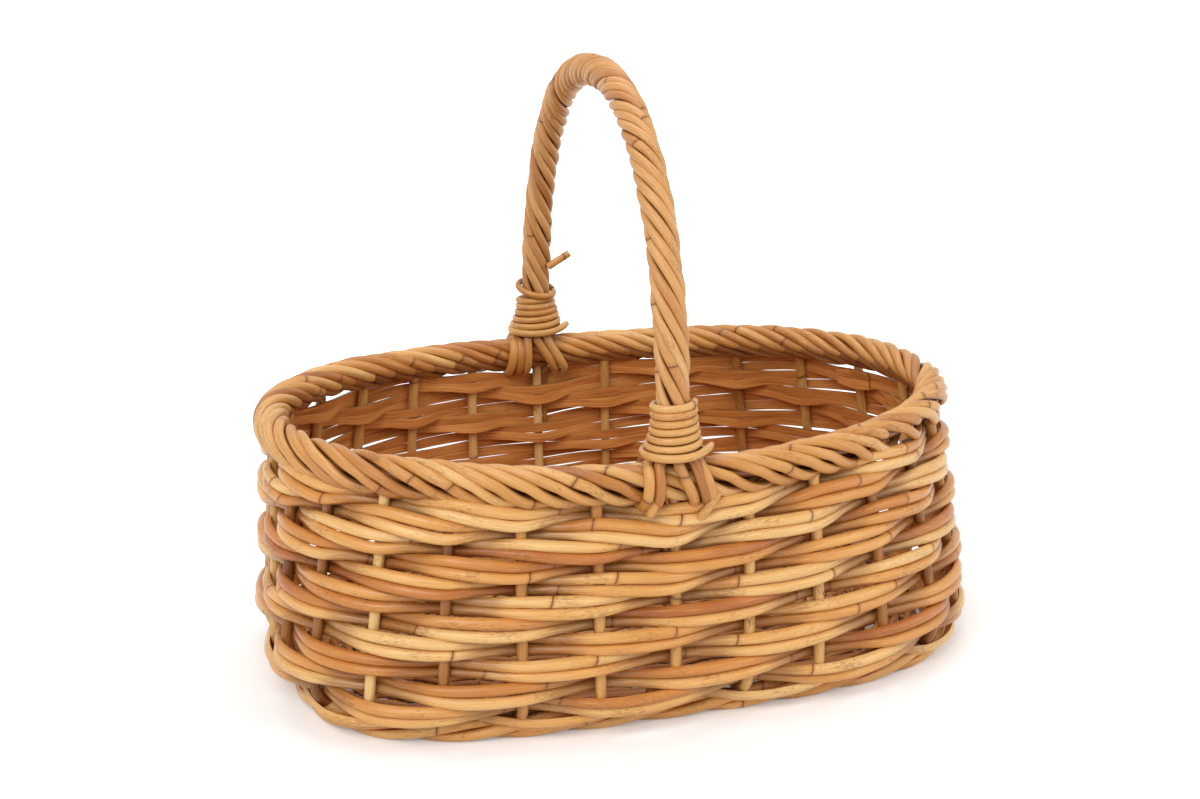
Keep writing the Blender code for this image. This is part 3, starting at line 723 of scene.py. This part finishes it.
def pair_places(layer):
    """Depth, lift, spread, width and clearness of a pair at each half step of its stroke."""
    way = layer_way(layer)
    above = layer_way(layer + 1) - way
    below = way - layer_way(layer - 1)
    room = min(above, below)
    front = STAKE_DIAMETER / 2 + SEAT / 2
    behind = -front - CANE_DEPTH
    if way < BEND_WAY + CANE_WIDTH:
        behind -= CANE_WIDTH**2 / (2 * (STAKE_BEND_RADIUS - STAKE_DIAMETER / 2))
        room *= (STAKE_BEND_RADIUS - CANE_DEPTH / 2) / BEND_OUTSIDE
    pinch = min((room - GAP) / PAIR_HEIGHT, 1)
    up = (PAIR_HEIGHT + GAP - below) / 2
    down = (PAIR_HEIGHT + GAP - above) / 2
    crossing = -CANE_DEPTH / 2
    places = np.array(
        [
            (behind, 0, 1),
            (crossing, 0, pinch),
            (front, up, 1),
            (front + STROKE_BULGE, 0, 1),
            (front, -down, 1),
            (crossing, 0, pinch),
        ]
    )
    return np.column_stack([places, STROKE_WIDTH_SHARES, STROKE_CLEAR_SHARES])


def between(places, phase):
    """A smooth value between the places of a repeating stroke."""
    step, part = divmod(phase, 1)
    before, here, after, beyond = (places[(int(step) + k) % len(places)] for k in (-1, 0, 1, 2))
    return 0.5 * (
        2 * here
        + (after - before) * part
        + (2 * before - 5 * here + 4 * after - beyond) * part**2
        + (3 * here - before - 3 * after + beyond) * part**3
    )


def layer_raise(layer, number):
    """How far a pair is pushed up under the border, away from the handle's feet, or down."""
    apart = min(abs(number % STAKE_COUNT - foot) for foot in (0, STAKE_COUNT // 2, STAKE_COUNT))
    share = layer / (LAYER_COUNT - 1)
    up = LAYER_RAISE * share**LAYER_RAISE_POWER * (1 - 0.9 * exp(-((apart / 0.55) ** 2)))
    for stake, reach, low, high, power in WALL_RISES:
        near = exp(-(((number % STAKE_COUNT - stake) / reach) ** 2))
        up += near * (low + high * share**power)
    return min(up, LAYER_RAISE_MOST) - LAYER_DROP * (1 - share) ** LAYER_DROP_POWER


def wall_cane(layer, part, start, end, tone):
    """One split cane of a pair, from behind one stake to behind another."""
    way = layer_way(layer)
    places = pair_places(layer)
    width = CANE_WIDTH * RANDOM.uniform(0.99, 1.09)
    rise, reach, roll = wander(0.0004), wander(0.0003), wander(0.10)
    points, faces, widths, clears = [], [], [], []
    steps = round((end - start) * POINTS_PER_STAKE)
    for number in np.linspace(start, end, steps + 1):
        depth, lift, spread, wide, clear = between(places, (2 * (number - layer)) % len(places))
        tail = max(0, SPLICE_REACH - min(number - start, end - number)) / SPLICE_REACH
        spot, outward, upward = wall_frame(stake_angle(number), way)
        lift += part * width * wide / 2 * spread + rise(number) + layer_raise(layer, number)
        depth += reach(number) - tail * CANE_DEPTH * 0.6
        points.append(spot + outward * depth + upward * lift)
        faces.append(outward + upward * (part * 0.16 + roll(number)))
        widths.append(width * wide)
        clears.append(clear)
    return cane(points, widths, faces, tone, clears)


def wall_layer(layer):
    """One round of the wall: two canes side by side, spliced behind a stake here and there."""
    first = layer % STROKE_STAKES
    canes = []
    for part in (-1, 1):
        behind = [
            number
            for number in range(first, STAKE_COUNT, STROKE_STAKES)
            if abs(number - STAKE_COUNT / 2) > SPLICE_FREE_STAKES
        ]
        cuts = sorted(RANDOM.choice(behind, SPLICES, replace=False).tolist())
        for start, end in zip(cuts, cuts[1:] + [cuts[0] + STAKE_COUNT]):
            tone = RANDOM.beta(1.5, 2.4)
            canes.append(wall_cane(layer, part, start - SPLICE_REACH, end + SPLICE_REACH, tone))
    name = f"split_cane_pair_{layer + 1:02d}"
    replaced = [f"wale_pair_{layer + 1:02d}"]
    sweep(name, canes, SPLIT_SECTION, SPLIT_RATTAN, replaced)


def stakes():
    """The upright whole canes, each round the bend of the foot and up into the border."""
    canes = []
    for number in range(STAKE_COUNT):
        angle = stake_angle(number)
        points = [
            oval_point(angle, BASE_INSET + GAP - STAKE_DIAMETER * share, STAKE_FOOT_HEIGHT)
            for share in (1.0, 0.5, 0.0)
        ]
        faces = [-UP] * len(points)
        for way in np.linspace(0.0005, wall_way(RIM_HEIGHT - BORDER_RADIUS), 52):
            spot, outward, _ = wall_frame(angle, float(way))
            points.append(spot)
            faces.append(outward)
        tone = 0.78 if number in DARK_STAKES else RANDOM.uniform(0.05, 0.50)
        canes.append(cane(points, STAKE_DIAMETER * RANDOM.uniform(0.98, 1.06), faces, tone))
    nodes = [f"stake_{number + 1:02d}" for number in range(STAKE_COUNT)]
    sweep("whole_cane_stakes", canes, ROUND_SECTION, WHOLE_RATTAN, nodes)


# Border and foot


def border_rod(first, turns, table, cut):
    """A rod that rises inside, lies over the rim and is tucked away below it, or cut there."""
    width = ROD_DIAMETER * RANDOM.uniform(0.94, 1.06)
    swing = RANDOM.uniform(-0.10, 0.10)
    lift = RANDOM.uniform(-0.0004, 0.0004)
    drop = ROD_DROP * RANDOM.uniform(0.6, 1.3)
    points, faces, widths, clears = [], [], [], []
    for share in np.linspace(0, 1, ROD_POINTS + 1):
        turn = ROD_START - ROD_TURN * share + swing * sin(pi * share)
        angle = even_angle(first + share * ROD_TURN / (2 * pi * turns), table)
        centre, outward = ring_frame(angle, 0.0, RIM_HEIGHT)
        direction = outward * cos(turn) + UP * sin(turn)
        low = max(-sin(turn), 0) * max(cos(turn) + 0.4, 0)
        tuck = 0.0016 * (max(0, 0.12 - share) + max(0, share - 0.88)) / 0.12
        reach = BORDER_RADIUS - ROD_DIAMETER / 2 + lift - tuck
        points.append(centre + direction * reach - UP * drop * low)
        faces.append(direction)
        widths.append(width)
        # Painted shade: the rod's end, tucked away under the rim, gets less clearness and turns brown
        clears.append(1 - 0.9 * max(0, share - 0.60) / 0.30)
        place = (angle + pi) % (2 * pi) - pi
        if cut and share > CUT_ROD_SHARE and CUT_ROD_ANGLES[0] < place < CUT_ROD_ANGLES[1]:
            widths[-2:] = [width * 0.9, width * 0.35]
            break
    return cane(points, widths, faces, RANDOM.beta(1.7, 2.8), clears)


def border():
    """Rods laid over each other round the rim, and the canes that they hide."""
    length = 2 * pi * sqrt((RIM_HALF_LENGTH**2 + RIM_HALF_WIDTH**2) / 2)
    turns = round(length / BORDER_LAY)
    table = oval_lengths(0.0, RIM_HEIGHT, 0.0)
    count = turns * ROD_STRANDS
    canes = []
    for rod in range(count):
        first = (rod + RANDOM.uniform(-0.12, 0.12)) / count
        canes.append(border_rod(first, turns, table, rod % 2))
    for third in range(3):
        turn = 2 * pi * third / 3
        points, faces = [], []
        for share in np.linspace(0, 1, 241):
            centre, outward = ring_frame(even_angle(share, table), 0.0, RIM_HEIGHT)
            points.append(centre + (outward * cos(turn) + UP * sin(turn)) * 0.0024)
            faces.append(outward)
        # Painted shade: the hidden canes get a dark tone and no clearness, so they show brown between the
        # rods
        canes.append(cane(points, ROD_DIAMETER, faces, 0.9, 0.0))
    sweep("border_rods", canes, ROUND_SECTION, SMOOTH_RATTAN, ["rope_border"])


def foot_canes():
    """Three canes laid like a rope round the bottom, rising to the right."""
    inset = STAKE_FOOT_INSET + FOOT_REACH * sin(FOOT_TURN)
    table = oval_lengths(inset, FOOT_HEIGHT, 0.0)
    turns = STAKE_COUNT // STROKE_STAKES
    canes = []
    for strand in range(FOOT_STRANDS):
        points, faces, clears = [], [], []
        lift = wander(0.0003, 20)
        for share in np.linspace(0, 1, 340):
            centre, outward = ring_frame(even_angle(share, table), inset, FOOT_HEIGHT)
            turn = 2 * pi * (turns * share + strand / FOOT_STRANDS) - pi / 2
            spot = centre + outward * (0.0025 * cos(turn) + lift(share))
            spot.z = FOOT_CANE * 0.45 + FOOT_SWING * (1 + sin(turn))
            points.append(spot)
            faces.append(outward * (cos(turn) + 0.6) + UP * sin(turn))
            # Painted shade: a strand is darker where it turns in against the stakes
            clears.append(0.65 + 0.6 * cos(turn))
        canes.append(cane(points, FOOT_CANE, faces, RANDOM.uniform(0.1, 0.6), clears))
    sweep("foot_canes", canes, FOOT_SECTION, SPLIT_RATTAN, ["foot_wale"])


# Base


def base_height(x, y):
    """Middle of the base's thickness, raised in the middle of the oval."""
    power = squareness(STAKE_FOOT_HEIGHT)
    reach = half_length(STAKE_FOOT_HEIGHT) + BASE_INSET
    along = abs((x - middle(STAKE_FOOT_HEIGHT)) / reach) ** power
    across = abs(y / (RIM_HALF_WIDTH + BASE_INSET)) ** power
    share = min((along + across) ** (1 / power), 1)
    return STAKE_FOOT_HEIGHT + BASE_CROWN * (1 - share**2)


def base_point(angle, share):
    """A point of the base, share 0 along its middle line and 1 at its edge."""
    half = half_length(STAKE_FOOT_HEIGHT) + BASE_INSET
    straight = half - (RIM_HALF_WIDTH + BASE_INSET)
    edge = oval_point(angle, BASE_INSET, STAKE_FOOT_HEIGHT)
    centre = middle(STAKE_FOOT_HEIGHT)
    x = centre + (edge.x - centre) * (straight + (half - straight) * share) / half
    y = edge.y * share
    return Vector((x, y, base_height(x, y)))


def base_row(first, last):
    """A cane wound from one share of the base out to another, over and under the spokes."""
    rounds = round((last - first) / BASE_ROW_SHARE)
    points = []
    for part in np.linspace(0, 1, rounds * STAKE_COUNT * 6 + 1):
        number = rounds * STAKE_COUNT * part
        spot = base_point(stake_angle(number), first + (last - first) * part)
        points.append(spot + UP * cos(pi * number) * BASE_WAVE)
    width = BASE_CANE * RANDOM.uniform(0.97, 1.03)
    return cane(points, width, [UP] * len(points), RANDOM.beta(2, 2))


def edge_row(way):
    """A round of cane that lies inside the stakes' bend, between the base and the wall."""
    points, faces = [], []
    for number in np.linspace(0, STAKE_COUNT, STAKE_COUNT * 6 + 1):
        spot, outward, _ = wall_frame(stake_angle(number), way)
        depth = STAKE_DIAMETER / 2 + BASE_CANE * 0.35 + 0.0010 * cos(pi * number)
        points.append(spot - outward * depth)
        faces.append(-outward)
    return cane(points, BASE_CANE, faces, RANDOM.beta(2, 2))


def base_weaving():
    """Canes wound close round the long sticks, out to the edge."""
    shares = [BASE_ROW_SHARE * (0.5 + row) for row in range(round(1 / BASE_ROW_SHARE))]
    canes = []
    for row in range(0, len(shares) - 1, 4):
        canes.append(base_row(shares[row], shares[min(row + 4, len(shares) - 1)]))
    canes += [edge_row(way) for way in EDGE_WAYS]
    sweep("base_weaving", canes, WEAVE_SECTION, CORE_RATTAN, ["base_weave"])


def base_sticks():
    """The crossed sticks and the spokes between which the base is woven."""
    centre = middle(STAKE_FOOT_HEIGHT)
    power = squareness(STAKE_FOOT_HEIGHT)
    long_half = half_length(STAKE_FOOT_HEIGHT) + BASE_INSET - STICK_DIAMETER
    wide_half = RIM_HALF_WIDTH + BASE_INSET - STICK_DIAMETER
    lines = []
    for i in range(LONG_STICKS):
        y = (i - (LONG_STICKS - 1) / 2) * LONG_STICK_SPACING
        lines.append([(centre + long_half * share, y) for share in np.linspace(-1, 1, 60)])
    for i in range(CROSS_STICKS):
        x = (i - (CROSS_STICKS - 1) / 2) * CROSS_STICK_SPACING
        reach = wide_half * (1 - (abs(x) / long_half) ** power) ** (1 / power)
        lines.append([(centre + x, reach * share) for share in np.linspace(-1, 1, 40)])
    canes = []
    for line in lines:
        points = [Vector((x, y, base_height(x, y))) for x, y in line]
        canes.append(cane(points, STICK_DIAMETER, [UP] * len(points), RANDOM.beta(2, 2)))
    for number in range(STAKE_COUNT):
        points = [base_point(stake_angle(number), share) for share in np.linspace(0.16, 1, 24)]
        canes.append(cane(points, SPOKE_DIAMETER, [UP] * len(points), 0.4))
    sweep("base_sticks", canes, ROUND_SECTION, WHOLE_RATTAN, ["base_slath"])


# Handle


def hoop_point(turn):
    """A point of the handle's middle line, from the near foot at 0 over to the far foot at pi."""
    side = cos(turn)
    across = RIM_HALF_WIDTH * abs(side) ** (2 / HANDLE_SIDE_POWER)
    rise = HANDLE_RISE * max(sin(turn), 0) ** (2 / HANDLE_CROWN_POWER)
    y = -across if side > 0 else across
    return Vector((hoop_place(y / RIM_HALF_WIDTH), y, SIDE_RIM_HEIGHT + rise))


def hoop_side(side, height):
    """Place across the basket of the hoop's near (-1) or far (1) leg at a height."""
    share = max(height - SIDE_RIM_HEIGHT, 0) / HANDLE_RISE
    return -side * hoop_point(asin(share ** (HANDLE_CROWN_POWER / 2))).y


def hoop_line(low, step):
    """Evenly spaced points of the hoop above the height low, and directions across each."""
    samples = [hoop_point(pi * i / OVAL_SAMPLES) for i in range(OVAL_SAMPLES + 1)]
    samples[0].z = samples[-1].z = SIDE_RIM_HEIGHT
    heights = [point.z for point in samples[: OVAL_SAMPLES // 2]]
    lengths = [0.0]
    for near, far in zip(samples, samples[1:]):
        lengths.append(lengths[-1] + (far - near).length)
    start = float(np.interp(low, heights, lengths[: len(heights)]))
    whole = lengths[-1] - 2 * start
    wanted = np.linspace(start, lengths[-1] - start, round(whole / step) + 1)
    columns = [np.interp(wanted, lengths, [point[k] for point in samples]) for k in range(3)]
    places = np.array(columns).T
    sideways = np.array((RIM_HALF_WIDTH, HANDLE_SKEW, 0.0))
    sideways /= np.linalg.norm(sideways)
    tangents = np.gradient(places, axis=0)
    tangents /= np.linalg.norm(tangents, axis=1)[:, None]
    inward = np.cross(tangents, sideways)
    inward /= np.linalg.norm(inward, axis=1)[:, None]
    return places, wanted - start, sideways, inward


def handle_middle():
    """The straight canes that the strands are laid round, seen only between them."""
    places, _, _, inward = hoop_line(BORDER_TOP + GAP, 0.004)
    # Painted shade: the core gets a dark tone and almost no clearness, so it shows brown between the
    # strands
    line = cane(places, CORE_DIAMETER * 1.15, inward, 0.9, 0.1)
    sweep("handle_middle", [line], ROUND_SECTION, SMOOTH_RATTAN, ["handle_core"])


def handle_strands():
    """Strands laid round the core like a left-handed rope, with a shorter lay over the crown."""
    places, ways, sideways, inward = hoop_line(ROPE_FOOT - 0.012, STRAND_STEP)
    crown = np.exp(-(((ways - ways[-1] / 2) / CROWN_REACH) ** 2))
    lays = LEG_LAY + (CROWN_LAY - LEG_LAY) * crown
    turns = -2 * pi * np.cumsum(np.diff(ways, prepend=ways[0]) / lays)
    canes = []
    for strand in range(HANDLE_STRANDS):
        start = 2 * pi * strand / HANDLE_STRANDS + RANDOM.uniform(-0.09, 0.09)
        slip, lift = wander(0.10, 40), wander(0.0005, 50)
        width = STRAND_DIAMETER * RANDOM.uniform(1.15, 1.27)
        points, faces = [], []
        for way, place, turn, across in zip(ways, places, turns, inward):
            turn += start + slip(way)
            direction = sideways * cos(turn) + across * sin(turn)
            points.append(place + direction * (STRAND_RING + 0.0003 + lift(way)))
            faces.append(direction)
        canes.append(cane(points, width * (1 - 0.10 * crown), faces, RANDOM.beta(1.8, 2.6)))
    sweep("handle_strands", canes, STRAND_SECTION, SCRAPED_RATTAN, ["handle_rope"])


# Feet of the handle


def leg(side, front, top, bottom):
    """A strand that leaves the rope inside the binding and straddles the border."""
    wide = BORDER_RADIUS + STRAND_DIAMETER / 2
    start = ROPE_FOOT + 0.004
    twist = RANDOM.uniform(-0.4, 0.1)
    edge = sqrt(max(0.0150**2 - top**2, 0.0050**2))
    spread = atan2(top, edge)
    line = []
    for share in np.linspace(0, 1, 10):
        ease = share**4
        ring = STRAND_RING * 0.9
        turned = spread + twist * (1 - share)
        x = ring * sin(turned) * (1 - ease) + top * ease
        y = ring * cos(turned) * (1 - ease) + min(edge, wide) * ease
        line.append((x, y, start + (COLLAR_BOTTOM - start) * share))
    first = asin(min(edge / wide, 1))
    for share in np.linspace(0, 1, 13)[1:]:
        turn = first + (pi - first) * share
        reach = wide - 0.0012 * max(2 * share - 1, 0)
        below = 1.12 if cos(turn) < 0 else 1
        z = SIDE_RIM_HEIGHT + reach * cos(turn) * below
        down = min(1.1 * (COLLAR_BOTTOM - z) / (COLLAR_BOTTOM - SIDE_RIM_HEIGHT + wide), 1)
        line.append((top + (bottom - top) * down, reach * sin(turn), z))
    points, faces, clears = [], [], []
    for x, y, z in line:
        points.append(Vector((hoop_place(side) + x, hoop_side(side, z) + front * y, z)))
        faces.append(Vector((x * 0.4, front * y, max(z - SIDE_RIM_HEIGHT, -0.006) * 0.3)))
        # Painted shade: a leg is darker where it runs up inside the binding
        clears.append(1 if z < COLLAR_BOTTOM - 0.003 else 0.35)
    width = STRAND_DIAMETER * RANDOM.uniform(1.28, 1.40)
    return cane(points, width, faces, 0.2 + 0.6 * RANDOM.beta(2, 2.4), clears)


def strand_legs(side, word, shown):
    """The strands at a foot of the handle, seen before and behind the border."""
    canes = [leg(side, -1, top, bottom) for top, bottom in shown]
    canes += [leg(side, 1, top, bottom) for top, bottom in HIDDEN_LEGS]
    if side < 0:
        canes += near_ends()
    nodes = [f"{word}_strand_leg_{number}" for number in (1, 2, 3, 4)]
    sweep(f"{word}_strand_legs", canes, STRAND_SECTION, SMOOTH_RATTAN, nodes)


def wall_piece(start, end, depth, width, tone):
    """A short end of cane on the wall's outside, each end at a stake's number and a height."""
    points, faces = [], []
    for share in np.linspace(0, 1, 9):
        number = start[0] + (end[0] - start[0]) * share
        height = start[1] + (end[1] - start[1]) * share
        spot, outward, _ = wall_frame(stake_angle(number), wall_way(height))
        points.append(spot + outward * (depth + 0.0015 * sin(pi * share)))
        faces.append(outward)
    widths = np.full(9, width)
    widths[-1] *= 0.5
    return cane(points, widths, faces, tone)


def near_ends():
    """Ends of the strands that come out under the border beside the near foot."""
    return [
        wall_piece((0.50, 0.1515), (0.25, 0.1365), 0.0085, 0.0056, 0.30),
        wall_piece((-0.29, 0.1530), (-0.38, 0.1410), 0.0085, 0.0058, 0.30),
    ]


def collar_point(side, turn, loose=0.0):
    """A point of the binding round a handle foot, turn counted in whole turns from the bottom."""
    share = min(turn / COLLAR_TURNS[side], 1)
    wide = (BORDER_RADIUS + 2 * GAP + STRAND_DIAMETER + COLLAR_CANE / 2) / cos(pi / 12)
    slim = ROPE_RADIUS + GAP + COLLAR_CANE / 2
    height = COLLAR_BOTTOM + COLLAR_CANE / 2 + COLLAR_PITCH * turn
    radius = slim + (wide - slim) * (1 - share) ** COLLAR_FLARES[side] + loose
    depth = COLLAR_DEPTH_SHARE + (1 - COLLAR_DEPTH_SHARE) * (1 - share)
    face = Vector((cos(2 * pi * turn), depth * sin(2 * pi * turn), 0))
    return Vector((hoop_place(side), hoop_side(side, height), height)) + face * radius, face


def winding(side, start, end, width, tone, tail=0.0):
    """A stretch of the binding, its far end drawn out sideways by the tail."""
    sway = wander(0.0003, 5)
    points, faces = [], []
    for turn in np.linspace(start, end, round((end - start) * COLLAR_POINTS) + 1):
        out = tail * max(0, 1 - (end - turn) / 0.12) ** 2
        spot, face = collar_point(side, turn, sway(turn) + out)
        points.append(spot + UP * (sway(turn + 1) + 0.25 * out))
        faces.append(face)
    widths = np.full(len(points), width)
    widths[[0, -1]] *= (0.5, 0.8)
    return cane(points, widths, faces, tone)


def loose_ends(side):
    """A slack ring and a stub of cane above the far foot's binding."""
    height = COLLAR_BOTTOM + COLLAR_TURNS[side] * COLLAR_PITCH + 0.0075
    centre = Vector((hoop_place(side), hoop_side(side, height), height))
    ring, faces = [], []
    for turn in np.linspace(0.1, 2 * pi * 0.98, 44):
        face = Vector((cos(turn), sin(turn), 0.0))
        ring.append(centre + face * (ROPE_RADIUS + 0.0030) + UP * 0.0035 * sin(turn - 0.6))
        faces.append(face)
    root = Vector((hoop_place(side) + 0.006, hoop_side(side, 0.220) - 0.009, 0.220))
    stub = [root + Vector((0.0150, -0.002, 0.0092)) * share for share in np.linspace(0, 1, 6)]
    return [
        cane(ring, COLLAR_CANE * 1.1, faces, 0.4),
        cane(stub, np.linspace(0.0054, 0.0050, 6), [Vector((0, -1, 0))] * 6, 0.4),
    ]


def collar(side, word):
    """Turns of thin cane bound round the strands where they spread over the border."""
    turns = COLLAR_TURNS[side]
    canes = [
        winding(side, 0.0, 0.97, COLLAR_CANE * 1.14, 0.15, tail=0.0048),
        winding(side, 1.0, turns - 1.0, COLLAR_CANE * 1.03, 0.2),
        winding(side, turns - 1.05, turns - 0.02, COLLAR_CANE * 1.10, 0.1),
    ]
    if side > 0:
        canes += loose_ends(side)
    node = f"{word}_collar"
    sweep(f"{word}_binding", canes, STRAND_SECTION, SMOOTH_RATTAN, [node])


def liner(number, word):
    """A flat tapered end pushed down beside a stake, under the handle's foot."""
    angle = stake_angle(number)
    top = wall_way(SIDE_RIM_HEIGHT + RIM_SADDLE / 2 - BORDER_RADIUS - TUCKED_DIAMETER - 2 * GAP)
    beside = (STAKE_DIAMETER / 2 + GAP + LINER_WIDTH / 2) / wall_point(angle, top).xy.length
    points, faces, widths = [], [], []
    for down in np.linspace(0, LINER_LENGTH, 20):
        spot, outward, _ = wall_frame(angle - beside, top - down)
        points.append(spot)
        faces.append(outward)
        widths.append(LINER_WIDTH * (0.3 + 0.7 * min((LINER_LENGTH - down) / LINER_POINT, 1)))
    # Painted shade: the lowered clearness darkens the liner where it lies under the handle's foot
    line = cane(points, widths, faces, 0.8, 0.6)
    node = f"{word}_liner_end"
    sweep(f"{word}_liner", [line], FLAT_SECTION, WHOLE_RATTAN, [node])


# Floor, light and camera

SKY_LIGHT = 0.55
CAMERA_AZIMUTH = radians(-17.319)
CAMERA_ELEVATION = radians(17.452)
CAMERA_DISTANCE = 1.11743
CAMERA_TARGET = Vector((-RIM_SHIFT, 0.0, 0.154))
FLOOR_HALF = 6.0


def seen_rays(tree):
    """One for the rays of the camera, of glosses and through glass, and zero for other light."""
    rays = add_node(tree, "ShaderNodeLightPath")
    seen = rays["Is Camera Ray"]
    for name in ("Is Glossy Ray", "Is Transmission Ray"):
        seen = add_node(tree, "ShaderNodeMath", (seen, rays[name]), operation="MAXIMUM")[0]
    return seen


def floor():
    """White paper that shows the object's shadow and is plain white further off."""
    mesh = bpy.data.meshes.new("floor")
    corners = [(-1, -1), (1, -1), (1, 1), (-1, 1)]
    mesh.from_pydata([(x * FLOOR_HALF, y * FLOOR_HALF, 0) for x, y in corners], [], [range(4)])
    obj = bpy.data.objects.new("floor", mesh)
    bpy.context.scene.collection.objects.link(obj)
    material = bpy.data.materials.new("white_paper")
    material.use_nodes = True
    tree = material.node_tree
    tree.nodes.clear()
    place = add_node(tree, "ShaderNodeTexCoord")["Object"]
    away = add_node(tree, "ShaderNodeVectorMath", (place,), operation="LENGTH")["Value"]
    glow = add_node(tree, "ShaderNodeMapRange", (away, 0.40, 1.10, 0.22, 1.0))[0]
    glow = add_node(tree, "ShaderNodeMath", (glow, seen_rays(tree)), operation="MULTIPLY")[0]
    paper = add_node(tree, "ShaderNodeBsdfDiffuse", {"Color": (0.86, 0.86, 0.86, 1)})[0]
    light = add_node(tree, "ShaderNodeEmission", {"Strength": glow})[0]
    both = add_node(tree, "ShaderNodeAddShader", (paper, light))[0]
    add_node(tree, "ShaderNodeOutputMaterial", {"Surface": both})
    mesh.materials.append(material)


def sky():
    """White wherever the camera sees it, and a softer light on the object."""
    world = bpy.data.worlds.new("studio")
    bpy.context.scene.world = world
    world.use_nodes = True
    tree = world.node_tree
    strength = add_node(
        tree,
        "ShaderNodeMath",
        (seen_rays(tree), 1 - SKY_LIGHT, SKY_LIGHT),
        operation="MULTIPLY_ADD",
    )[0]
    background = tree.nodes["Background"]
    background.inputs["Color"].default_value = (1, 1, 1, 1)
    tree.links.new(strength, background.inputs["Strength"])


def lamp(name, place, size, power):
    """A square lamp that looks at the basket."""
    data = bpy.data.lights.new(name, "AREA")
    data.size = size
    data.energy = power
    obj = bpy.data.objects.new(name, data)
    obj.location = place
    aim = Vector((0, 0, 0.12)) - Vector(place)
    obj.rotation_euler = aim.to_track_quat("-Z", "Y").to_euler()
    bpy.context.scene.collection.objects.link(obj)


def camera():
    """The photograph's view: from the front, a little left of the middle and from above."""
    data = bpy.data.cameras.new("camera")
    data.sensor_width = 36.0
    data.lens = 52.433
    data.shift_x = -0.00762
    data.shift_y = 0.0090
    obj = bpy.data.objects.new("camera", data)
    level = Vector((sin(CAMERA_AZIMUTH), -cos(CAMERA_AZIMUTH), 0)) * cos(CAMERA_ELEVATION)
    obj.location = CAMERA_TARGET + (level + UP * sin(CAMERA_ELEVATION)) * CAMERA_DISTANCE
    obj.rotation_euler = (pi / 2 - CAMERA_ELEVATION, 0, CAMERA_AZIMUTH)
    bpy.context.scene.collection.objects.link(obj)
    bpy.context.scene.camera = obj


camera()
sky()
floor()
lamp("key", (-1.3, -1.5, 1.9), 1.4, 34)
lamp("fill", (1.7, -1.1, 1.1), 1.6, 12)
lamp("top", (0.2, 0.5, 2.2), 1.6, 16)
bpy.context.scene.view_settings.view_transform = "Standard"

for layer in range(LAYER_COUNT):
    wall_layer(layer)
stakes()
border()
foot_canes()
base_weaving()
base_sticks()
handle_middle()
handle_strands()
for side, word, shown in ((-1, "near", NEAR_LEGS), (1, "far", FAR_LEGS)):
    strand_legs(side, word, shown)
    collar(side, word)
liner(0, "near")
liner(STAKE_COUNT // 2, "far")
